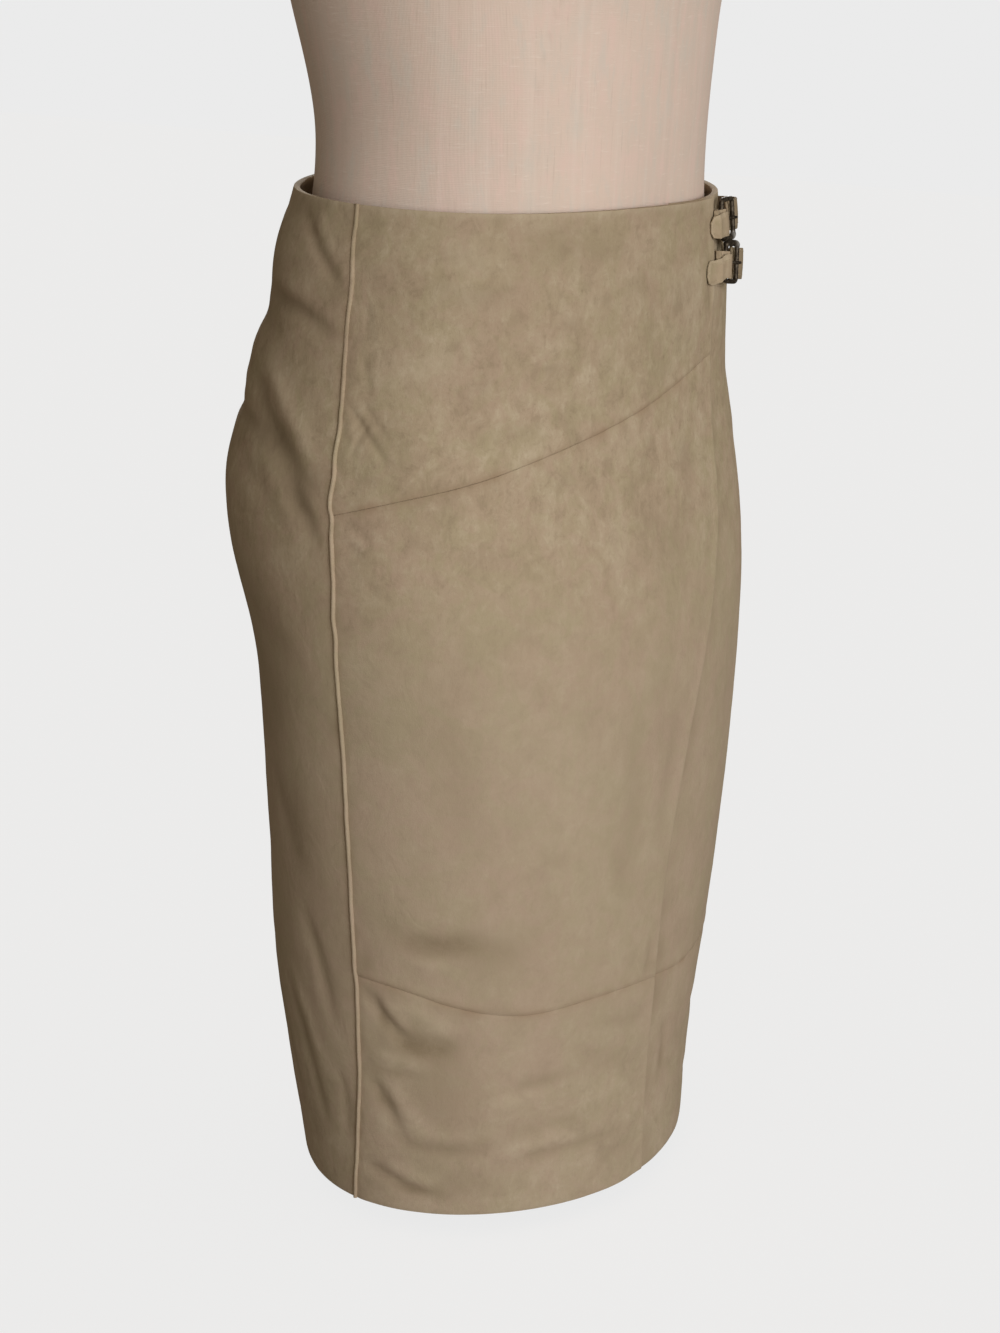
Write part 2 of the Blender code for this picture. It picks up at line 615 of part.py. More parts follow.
for side, word in ((-1, "right"), (1, "left")):
    # Oval plate that closes the arm's cut.
    bm = bmesh.new()
    bmesh.ops.create_cone(bm, cap_ends=True, segments=28, radius1=1.0, radius2=1.0, depth=plateWall)
    for vert in bm.verts:
        across, up, through = vert.co
        vert.co = Vector((side * (armholeCut + meshGap + plateWall / 2) + through,
                          armholeBack + across * plateHalfDepth,
                          hemLift + armholeHeight + up * plateHalfHeight))
    bmesh.ops.recalc_face_normals(bm, faces=bm.faces)
    mesh = bpy.data.meshes.new(f"form_armhole_plate_{word}")
    bm.to_mesh(mesh)
    bm.free()
    plate = addObject(f"form_armhole_plate_{word}", mesh, wood)
    soft = plate.modifiers.new("edge", "BEVEL")
    soft.width = 0.0010
    soft.segments = 1
    soft.limit_method = "ANGLE"

socketTop = baseThickness + 0.011
poleLow, poleHigh = socketTop + 0.0003, hemLift + torsoBottom - meshGap
turned("form_pole", [(0, poleHigh), (flangeRadius, poleHigh), (flangeRadius, poleHigh - 0.006),
                     (poleRadius, poleHigh - 0.010), (poleRadius, poleLow), (0, poleLow)], blackSteel, 20)
turned("form_base", [(0, socketTop), (socketRadius - 0.002, socketTop), (socketRadius, socketTop - 0.003),
                     (socketRadius, baseThickness + 0.001), (baseRadius - 0.002, baseThickness),
                     (baseRadius, baseThickness - 0.002), (baseRadius, 0), (0, 0)], blackSteel, 36)

bpy.context.view_layer.update()
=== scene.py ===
# Looks of a faux suede pencil skirt on a linen dress form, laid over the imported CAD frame.
# Run by Blender 4.5. Metres, +Z up, the skirt's front faces -Y, the wearer's right side faces -X.
from math import atan2, cos, degrees, hypot, pi, radians, sin

import bmesh
import bpy
import numpy as np
from mathutils import Matrix, Vector, noise
from mathutils.bvhtree import BVHTree
from mathutils.kdtree import KDTree


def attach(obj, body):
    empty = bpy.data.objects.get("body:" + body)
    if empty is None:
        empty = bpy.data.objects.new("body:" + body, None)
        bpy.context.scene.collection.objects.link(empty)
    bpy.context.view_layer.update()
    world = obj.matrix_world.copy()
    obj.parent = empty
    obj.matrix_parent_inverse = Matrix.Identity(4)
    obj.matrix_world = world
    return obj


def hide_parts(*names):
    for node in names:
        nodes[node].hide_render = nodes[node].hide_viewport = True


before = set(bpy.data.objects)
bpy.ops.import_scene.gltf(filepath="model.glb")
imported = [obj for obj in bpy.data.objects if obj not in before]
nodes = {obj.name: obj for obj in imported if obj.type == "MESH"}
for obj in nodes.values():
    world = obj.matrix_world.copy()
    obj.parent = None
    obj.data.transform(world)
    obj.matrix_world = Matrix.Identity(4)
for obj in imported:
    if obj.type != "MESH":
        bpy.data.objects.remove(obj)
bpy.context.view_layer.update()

hemLevel = 0.010          # mean hem above the table; cloth heights count from here
millimetre = 0.001
degreeLength = 2.45       # millimetres of cloth to a degree round the hips


def deselect():
    bpy.ops.object.select_all(action="DESELECT")


deselect()


# shader helpers
def addNode(tree, kind, settings, inputs, output=0):
    # Adds a node: its settings first, then the values or links of its sockets.
    made = tree.nodes.new(kind)
    for key, value in settings.items():
        setattr(made, key, value)
    for key, value in inputs.items():
        if isinstance(value, Value):
            tree.links.new(value.socket, made.inputs[key])
        else:
            made.inputs[key].default_value = value
    return Value(tree, made.outputs[output]) if len(made.outputs) else None


class Value:
    # A number on its way through a shader; an expression on it adds Math nodes.
    def __init__(self, tree, socket):
        self.tree = tree
        self.socket = socket

    def math(self, operation, *others, first=None):
        feeds = [self, *others] if first is None else [first, self, *others]
        return addNode(self.tree, "ShaderNodeMath", {"operation": operation}, dict(enumerate(feeds)))

    def __add__(self, other):
        return self.math("ADD", other)

    def __mul__(self, other):
        return self.math("MULTIPLY", other)

    def __sub__(self, other):
        return self.math("SUBTRACT", other)

    def __rsub__(self, other):
        return self.math("SUBTRACT", first=other)

    __radd__ = __add__
    __rmul__ = __mul__

    def clamped(self):
        return self.math("MULTIPLY_ADD", 1.0, 0.0).capped()

    def capped(self):
        self.socket.node.use_clamp = True
        return self

    def between(self, low, high):
        settings = {"interpolation_type": "SMOOTHSTEP"}
        inputs = {"Value": self, "From Min": low, "From Max": high}
        return addNode(self.tree, "ShaderNodeMapRange", settings, inputs, "Result")


sockets = {
    "colour": "Base Color", "roughness": "Roughness", "metallic": "Metallic", "normal": "Normal",
    "specular": "Specular IOR Level", "coat": "Coat Weight", "coatRoughness": "Coat Roughness",
    "sheen": "Sheen Weight", "sheenRoughness": "Sheen Roughness", "sheenTint": "Sheen Tint",
    "glow": "Emission Color", "glowStrength": "Emission Strength",
}


class Look:
    # One material and the nodes it is made of.
    def __init__(self, name):
        self.material = bpy.data.materials.new(name)
        self.material.use_nodes = True
        self.tree = self.material.node_tree
        self.shader = self.tree.nodes["Principled BSDF"]

    def node(self, kind, settings, inputs, output=0):
        return addNode(self.tree, kind, settings, inputs, output)

    def coordinates(self, name="Object"):
        return self.node("ShaderNodeTexCoord", {}, {}, name)

    def part(self, vector, axis):
        return self.node("ShaderNodeSeparateXYZ", {}, {"Vector": vector}, axis)

    def scaled(self, vector, scale, turn=(0, 0, 0)):
        return self.node("ShaderNodeMapping", {}, {"Vector": vector, "Scale": scale, "Rotation": turn})

    def noise(self, vector, scale, detail=2.0, roughness=0.5, distortion=0.0):
        inputs = {"Vector": vector, "Scale": scale, "Detail": detail, "Roughness": roughness,
                  "Distortion": distortion}
        return self.node("ShaderNodeTexNoise", {}, inputs)

    def noises(self, vector, rows):
        # One noise for each row of stretch, turn, scale, detail, roughness and distortion.
        return [self.noise(self.scaled(vector, stretch, turn), *rest)
                for stretch, turn, *rest in rows.values()]

    def mix(self, factor, first, second):
        first = first if isinstance(first, Value) else (*first, 1)
        inputs = {"Factor": factor, 6: first, 7: (*second, 1)}
        return self.node("ShaderNodeMix", {"data_type": "RGBA"}, inputs, 2)

    def layered(self, base, tones, rows):
        # Lays tones over a base colour, each by its own factor.
        for factor, tone in rows:
            base = self.mix(factor, base, tones[tone])
        return base

    def attribute(self, name):
        return self.node("ShaderNodeAttribute", {"attribute_name": name}, {}, "Fac")

    def bump(self, height, strength, distance, under=None):
        inputs = {"Height": height, "Strength": strength, "Distance": distance}
        if under is not None:
            inputs["Normal"] = under
        return self.node("ShaderNodeBump", {}, inputs)

    def feed(self, **inputs):
        for key, value in inputs.items():
            socket = self.shader.inputs[sockets[key]]
            if isinstance(value, Value):
                self.tree.links.new(value.socket, socket)
            else:
                socket.default_value = (*value, 1) if isinstance(value, tuple) else value


# camera and studio
studio = {
    "cameraPlace": (-1.2299, -0.7679, 0.7447),
    "cameraTurn": (72.743, -0.915, -57.711),
    "lens": 71.25,
    "sensorHeight": 36.0,
    # Lamps: turn, strength, softness in degrees, colour, what they light. The key is low, over the camera's
    # right shoulder, and the fill comes from the side away from it. The floor's own lamp keeps it even.
    "lamps": {
        "key": ((76, 0, -29), 2.5, 40, (0.976, 0.987, 1.005), "object"),
        "fill": ((78, 0, 122), 1.5, 15, (0.976, 0.987, 1.005), "object"),
        "above": ((0, 0, 0), 2.0, 35, (1, 1, 1), "floor"),
    },
    "floorTone": (0.16, 0.16, 0.16),
    "floorGlow": (0.70, 0.70, 0.70),
    "ambient": (0.2075, 0.1800, 0.1445),
    "backdrop": (0.83, 0.83, 0.83),
    "floorSize": 9.0,
    "floorLevel": -0.0005,
}


def makeStudio(s):
    camera = bpy.data.cameras.new("camera")
    camera.lens = s["lens"]
    camera.sensor_fit = "VERTICAL"
    camera.sensor_height = s["sensorHeight"]
    holder = bpy.data.objects.new("camera", camera)
    holder.location = s["cameraPlace"]
    holder.rotation_euler = [radians(a) for a in s["cameraTurn"]]
    bpy.context.scene.collection.objects.link(holder)
    bpy.context.scene.camera = holder

    world = bpy.data.worlds.new("studio")
    world.use_nodes = True
    tree = world.node_tree
    tree.nodes.clear()
    ambient = addNode(tree, "ShaderNodeBackground", {}, {"Color": (*s["ambient"], 1)})
    seen = addNode(tree, "ShaderNodeBackground", {}, {"Color": (*s["backdrop"], 1)})
    fromCamera = addNode(tree, "ShaderNodeLightPath", {}, {}, "Is Camera Ray")
    mixed = addNode(tree, "ShaderNodeMixShader", {}, {0: fromCamera, 1: ambient, 2: seen})
    addNode(tree, "ShaderNodeOutputWorld", {}, {"Surface": mixed})
    bpy.context.scene.world = world
    bpy.context.scene.view_settings.view_transform = "Standard"

    deselect()
    bpy.ops.mesh.primitive_plane_add(size=s["floorSize"], location=(0, 0, s["floorLevel"]))
    floor = bpy.context.object
    floor.name = "floor"
    look = Look("pale_floor")
    look.feed(colour=s["floorTone"], roughness=1.0, specular=0.0, glow=s["floorGlow"], glowStrength=1.0)
    floor.data.materials.append(look.material)
    floor.visible_diffuse = False
    floor.visible_glossy = False

    lit = {target: bpy.data.collections.new(f"lit_{target}") for target in ("object", "floor")}
    lit["floor"].objects.link(floor)
    for name, (turn, strength, softness, colour, target) in s["lamps"].items():
        lamp = bpy.data.lights.new(name, "SUN")
        lamp.energy = strength
        lamp.angle = radians(softness)
        lamp.color = colour
        shining = bpy.data.objects.new(name, lamp)
        shining.rotation_euler = [radians(a) for a in turn]
        bpy.context.scene.collection.objects.link(shining)
        shining.light_linking.receiver_collection = lit[target]
        if target == "floor":
            shining.light_linking.blocker_collection = lit[target]
    return lit["object"]


litByKey = makeStudio(studio)
print("studio ready")


# materials
suedeTones = {
    "dark": (0.270, 0.205, 0.130),
    "olive": (0.380, 0.310, 0.192),
    "rosy": (0.412, 0.304, 0.212),
    "pale": (0.485, 0.396, 0.276),
    "dusty": (0.425, 0.338, 0.258),
    "seamAndShadowTone": (0.300, 0.208, 0.130),
}


# The nap lies in small patches, each brushed its own way, with short scuffs across them.
suedeNoises = {
    "broad": ((1, 1, 0.8), (0.3, 0.2, 0), 17, 3, 0.5, 0.4),
    "hues": ((1, 1, 0.9), (0.3, 0.2, 0), 58, 4, 0.62, 0.9),
    "clouds": ((1, 1, 0.85), (0, 0, 0), 32, 5, 0.62, 0.6),
    "patches": ((1, 1, 0.9), (0.2, 0.4, 0.1), 105, 6, 0.72, 0.45),
    "marks": ((1, 1, 0.6), (0.5, 0.25, 0), 270, 5, 0.74, 0.3),
    "scuffs": ((1, 1, 0.28), (0.5, 0.9, 0.4), 380, 4, 0.65, 0.3),
    "flecks": ((1, 1, 0.8), (0, 0, 0), 520, 4, 0.7, 0.6),
    "crumples": ((1, 1, 0.8), (0.2, 0.1, 0.6), 46, 3, 0.55, 0.7),
}


def makeSuede(name, tones):
    look = Look(name)
    place = look.coordinates()
    broad, hues, clouds, patches, marks, scuffs, flecks, crumples = look.noises(place, suedeNoises)
    grain = look.noise(place, 1500, 3, 0.7)
    rosiness = (broad.between(0.36, 0.64) * 0.5 + hues.between(0.42, 0.58) * 0.5).capped()
    height = look.part(place, 2) + broad * 0.05
    # The hips and the hem rub more than the front between them.
    lively = height.between(0.36, 0.46) * 0.75 + (1 - height).between(0.84, 0.92) * 0.55 + 0.75
    rubbed = clouds.between(0.48, 0.68) * 0.30 + patches.between(0.50, 0.66) * 0.30
    rubbed = rubbed + marks.between(0.52, 0.72) * 0.26 + scuffs.between(0.52, 0.75) * 0.16
    shaded = (1 - clouds).between(0.50, 0.68) * 0.22 + (1 - patches).between(0.50, 0.66) * 0.25
    shaded = shaded + flecks.between(0.52, 0.72) * 0.22 + (1 - scuffs).between(0.52, 0.75) * 0.16
    napAndShade = look.attribute("napAndShade") * (patches * 1.8 + marks * 0.5)
    base = look.layered(look.mix(rosiness, tones["olive"], tones["rosy"]), tones, [
        ((lively * rubbed).capped(), "pale"),
        ((lively * shaded).capped(), "dark"),
        # Painted shade darkens the cloth near the waist, and the lower front is dustier.
        (height.between(0.465, 0.560) * 0.16, "dark"),
        ((1 - height.between(0.28, 0.46)) * 0.30, "dusty"),
        # Marks in the nap with painted shade of creases and folds, dark seams with painted shadow, and pale
        # ridges.
        (napAndShade.clamped(), "pale"),
        ((napAndShade * -1.0).clamped(), "dark"),
        # Seams are darkened, and the same paint lays painted shadow beside the wrap and along the welts.
        ((look.attribute("darkSeamsAndShadow") * 0.72).capped(), "seamAndShadowTone"),
        # Ridges and edges are painted paler, partly as wear and partly as painted highlight.
        ((look.attribute("ridgeWearAndHighlight") * 0.55).capped(), "pale"),
    ])
    look.feed(colour=base, roughness=(grain * 0.12 + 0.84))
    # Small crumples that never quite press out, under the nap's own grain.
    folds = (crumples - 0.5).math("ABSOLUTE").between(0.0, 0.14)
    relief = look.bump(folds * 0.35 + patches * 0.7 + clouds * 0.8, 0.22, 0.0011)
    look.feed(normal=look.bump(grain * 0.40 + flecks * 0.35 + marks * 0.25, 0.36, 0.0009, relief))
    look.feed(specular=0.08, sheen=0.03, sheenRoughness=0.45, sheenTint=(0.96, 0.86, 0.70))
    return look.material


linenTones = {
    "base": (0.655, 0.52, 0.43),
    "warm": (0.69, 0.545, 0.448),
    "greyPatch": (0.60, 0.535, 0.45),
    "pinkPatch": (0.735, 0.54, 0.465),
    "paleWarp": (0.72, 0.60, 0.51),
    "darkSlub": (0.56, 0.43, 0.345),
    "paleSlub": (0.79, 0.67, 0.575),
    "pinkFleck": (0.735, 0.535, 0.455),
    "greyFleck": (0.61, 0.545, 0.465),
    "seam": (0.50, 0.385, 0.31),
    "threadsPerMetre": 1150.0,
}


# Slubs, where a thread is thicker for a while, and the uneven tints of the threads.
linenNoises = {
    "slubWarp": ((1, 0.05, 1), (0, 0, 0), 620, 3, 0.7),
    "slubWeft": ((0.11, 1, 1), (0, 0, 0), 620, 3, 0.7),
    "tints": ((1, 0.45, 1), (0, 0, 0), 85, 3, 0.6),
    "broadWarp": ((1, 0.03, 1), (0, 0, 0), 130, 3, 0.6),
    "blotches": ((1, 0.6, 1), (0, 0, 0.2), 30, 4, 0.62, 0.5),
}


def makeLinen(name, tones):
    look = Look(name)
    weave = look.coordinates("UV")
    wander = look.noise(weave, 6, 2) * 0.006
    turnsPerMetre = 2 * pi * tones["threadsPerMetre"]
    warp, weft = (((look.part(weave, axis) + wander) * turnsPerMetre).math("SINE") * 0.5 + 0.5
                  for axis in (0, 1))
    slubWarp, slubWeft, tints, broadWarp, blotches = look.noises(weave, linenNoises)
    cloud = look.noise(look.coordinates(), 9, 2)
    seam = look.attribute("seamLine")
    base = look.layered(look.mix(cloud.between(0.35, 0.65), tones["base"], tones["warm"]), tones, [
        (blotches.between(0.50, 0.66) * 0.34, "greyPatch"),
        ((1 - blotches).between(0.52, 0.68) * 0.34, "pinkPatch"),
        (broadWarp.between(0.45, 0.75) * 0.48, "paleWarp"),
        (slubWarp.between(0.56, 0.74) * 0.56, "darkSlub"),
        (slubWeft.between(0.56, 0.74) * 0.50, "paleSlub"),
        (tints.between(0.50, 0.68) * 0.48, "pinkFleck"),
        ((1 - tints).between(0.52, 0.70) * 0.50, "greyFleck"),
        (seam * 0.26, "seam"),
    ])
    look.feed(colour=base, roughness=0.88)
    height = warp * 0.2 + weft * 0.2 + slubWarp * 0.5 + slubWeft * 0.5 - seam * 0.5
    look.feed(normal=look.bump(height, 0.30, 0.0006))
    look.feed(specular=0.2, sheen=0.10)
    return look.material


metalTones = {
    "dark": (0.040, 0.030, 0.021),
    "worn": (0.105, 0.085, 0.062),
    "tarnish": (0.22, 0.20, 0.175),
    "paintedGlint": (0.60, 0.59, 0.57),
}


def makeMetal(name, tones):
    look = Look(name)
    place = look.coordinates()
    worn = look.noise(place, 420, 3, 0.6)
    tarnish = look.noise(place, 1300, 4, 0.7)
    polishGlint = look.attribute("polishGlint")
    base = look.layered(look.mix(worn.between(0.42, 0.60), tones["dark"], tones["worn"]), tones, [
        (tarnish.between(0.62, 0.78) * 0.4, "tarnish"),
        (polishGlint, "paintedGlint"),
    ])
    # The painted glint is paler and less metallic, so it shows bright under the key lamp.
    look.feed(colour=base, metallic=(0.9 - polishGlint * 0.6), roughness=(tarnish * 0.30 + 0.40 - polishGlint * 0.2))
    look.feed(normal=look.bump(tarnish, 0.15, 0.0002))
    return look.material


def makeSteel(name):
    look = Look(name)
    place = look.coordinates()
    peel = look.noise(place, 900, 2, 0.5)
    dust = look.noise(place, 45, 4, 0.6)
    base = look.mix(dust.between(0.5, 0.8) * 0.35, (0.022, 0.022, 0.024), (0.075, 0.073, 0.070))
    look.feed(colour=base, roughness=(dust * 0.22 + 0.34), normal=look.bump(peel, 0.12, 0.0003))
    return look.material


def makeWood(name):
    look = Look(name)
    place = look.coordinates()
    bent = look.noise(place, 7, 2) * 0.05
    inputs = {"Vector": look.scaled(place, (1, 0.12, 1)), "Scale": 42, "Distortion": 5, "Detail": 3,
              "Detail Scale": 1.4}
    rings = look.node("ShaderNodeTexWave", {"wave_type": "RINGS", "rings_direction": "Y"}, inputs, "Fac")
    pores = look.noise(look.scaled(place, (1, 0.06, 1)), 900, 3, 0.7)
    base = look.mix((rings + bent).between(0.2, 0.9), (0.33, 0.185, 0.085), (0.47, 0.30, 0.155))
    base = look.mix(pores.between(0.58, 0.75) * 0.5, base, (0.19, 0.10, 0.045))
    look.feed(colour=base, roughness=(pores * 0.18 + 0.34), coat=0.25, normal=look.bump(pores, 0.1, 0.0003))
    look.feed(coatRoughness=0.25)
    return look.material


def makeThread(name):
    look = Look(name)
    twist = look.noise(look.coordinates(), 2400, 2, 0.6)
    look.feed(colour=look.mix(twist, (0.30, 0.235, 0.145), (0.46, 0.375, 0.245)), roughness=0.7)
    return look.material


suede = makeSuede("faux_suede", suedeTones)
thread = makeThread("faux_suede_thread")
linen = makeLinen("linen_cover", linenTones)
darkMetal = makeMetal("antique_metal", metalTones)
standSteel = makeSteel("stand_steel")
wood = makeWood("turned_wood")
print("materials ready")


# modelling helpers
def only(piece):
    deselect()
    piece.select_set(True)
    bpy.context.view_layer.objects.active = piece


def link(piece):
    bpy.context.scene.collection.objects.link(piece)


def modify(piece, kind, **settings):
    # Adds a modifier and applies it.
    modifier = piece.modifiers.new(kind, kind)
    for key, value in settings.items():
        setattr(modifier, key, value)
    only(piece)
    bpy.ops.object.modifier_apply(modifier=modifier.name)


def smoothed(piece, levels):
    modify(piece, "SUBSURF", levels=levels, render_levels=levels, boundary_smooth="PRESERVE_CORNERS")


def addWall(piece, wall, even=False):
    # Thickens an open shell inwards.
    modify(piece, "SOLIDIFY", thickness=wall, offset=-1, use_even_offset=even)


def roundRim(piece, width, segments, leastAngle=30):
    modify(piece, "BEVEL", width=width, segments=segments, limit_method="ANGLE",
           angle_limit=radians(leastAngle))


def editOnly(piece, kind, elements, wanted):
    # Enters edit mode with only the wanted edges or vertices selected.
    only(piece)
    bpy.ops.object.mode_set(mode="EDIT")
    bpy.ops.mesh.select_mode(type=kind)
    bpy.ops.mesh.select_all(action="DESELECT")
    bpy.ops.object.mode_set(mode="OBJECT")
    for element in elements:
        element.select = wanted(element)
    bpy.ops.object.mode_set(mode="EDIT")


def getPoints(piece):
    points = np.empty(len(piece.data.vertices) * 3)
    piece.data.vertices.foreach_get("co", points)
    return points.reshape(-1, 3)


def setPoints(piece, points):
    piece.data.vertices.foreach_set("co", points.ravel())
    piece.data.update()


def polar(points):
    # Angle round the body in degrees, height in millimetres above the hem.
    return np.degrees(np.arctan2(points[:, 0], -points[:, 1])), (points[:, 2] - hemLevel) * 1000


def pushOut(points, rise):
    radius = np.hypot(points[:, 0], points[:, 1])
    moved = points.copy()
    moved[:, :2] *= (1 + rise / radius)[:, None]
    return moved


def paint(piece, name, amounts):
    attribute = piece.data.attributes.new(name, "FLOAT", "POINT")
    attribute.data.foreach_set("value", np.asarray(amounts, dtype=float))


def bell(distance, width):
    # 1 where the distance is 0, fading to nothing over about twice the width.
    return np.exp(-(distance / width) ** 2)


def smoothStep(low, high, value):
    t = np.clip((np.asarray(value) - low) / (high - low), 0, 1)
    return t * t * (3 - 2 * t)


def finishPiece(piece, look, slotName, *replaced):
    piece.data.materials.clear()
    piece.data.materials.append(look)
    only(piece)
    bpy.ops.object.shade_smooth_by_angle(angle=radians(50))
    litByKey.objects.link(piece)
    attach(piece, "root")
    if replaced:
        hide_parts(*replaced)


def copyNode(node, name):
    # A copy of a CAD node as a free piece, its loose triangles merged into one mesh of quads.
    piece = nodes[node].copy()
    piece.data = nodes[node].data.copy()
    piece.name = name
    piece.parent = None
    for key in list(piece.keys()):
        del piece[key]
    link(piece)
    piece.data.materials.clear()
    only(piece)
    bpy.ops.object.mode_set(mode="EDIT")
    bpy.ops.mesh.select_all(action="SELECT")
    bpy.ops.mesh.remove_doubles(threshold=0.00001)
    bpy.ops.mesh.tris_convert_to_quads(face_threshold=radians(60), shape_threshold=radians(80))
    bpy.ops.object.mode_set(mode="OBJECT")
    return piece


def outerFace(piece):
    # Keeps only the faces that look away from the body.
    leastOutward = 0.35
    bm = bmesh.new()
    bm.from_mesh(piece.data)
    inner = [f for f in bm.faces
             if f.normal.dot(Vector((*f.calc_center_median().xy, 0)).normalized()) < leastOutward]
    bmesh.ops.delete(bm, geom=inner, context="FACES")
    bm.to_mesh(piece.data)
    bm.free()


def sheetEdges(piece):
    # The four edges of a sheet, each as a list of vertex numbers between two corners.
    bm = bmesh.new()
    bm.from_mesh(piece.data)
    bm.verts.ensure_lookup_table()
    rim = [v for v in bm.verts if v.is_boundary]
    corners = [v for v in rim if len(v.link_edges) == 2]
    chains = []
    for corner in corners:
        for edge in corner.link_edges:
            chain, before, here = [corner.index], corner, edge.other_vert(corner)
            while len(here.link_edges) != 2:
                chain.append(here.index)
                ways = [e.other_vert(here) for e in here.link_edges if e.is_boundary]
                before, here = here, next(v for v in ways if v is not before)
            chain.append(here.index)
            if chain[0] < chain[-1]:
                chains.append(chain)
    inside = {}
    for v in rim:
        if len(v.link_edges) > 2:
            inside[v.index] = next(e.other_vert(v).index for e in v.link_edges if not e.is_boundary)
    bm.free()
    points = getPoints(piece)
    turns, heights = polar(points)
    if points[:, 1].mean() > 0:
        turns = turns % 360
    byHeight = sorted(chains, key=lambda chain: heights[chain].mean())
    sides = sorted(byHeight[1:3], key=lambda chain: turns[chain].mean())
    return {"bottom": byHeight[0], "top": byHeight[3], "start": sides[0], "end": sides[1]}, inside


def distanceTo(points, chain):
    tree = KDTree(len(chain))
    for number in chain:
        tree.insert(points[number], number)
    tree.balance()
    return np.array([tree.find(p)[2] for p in points]) * 1000


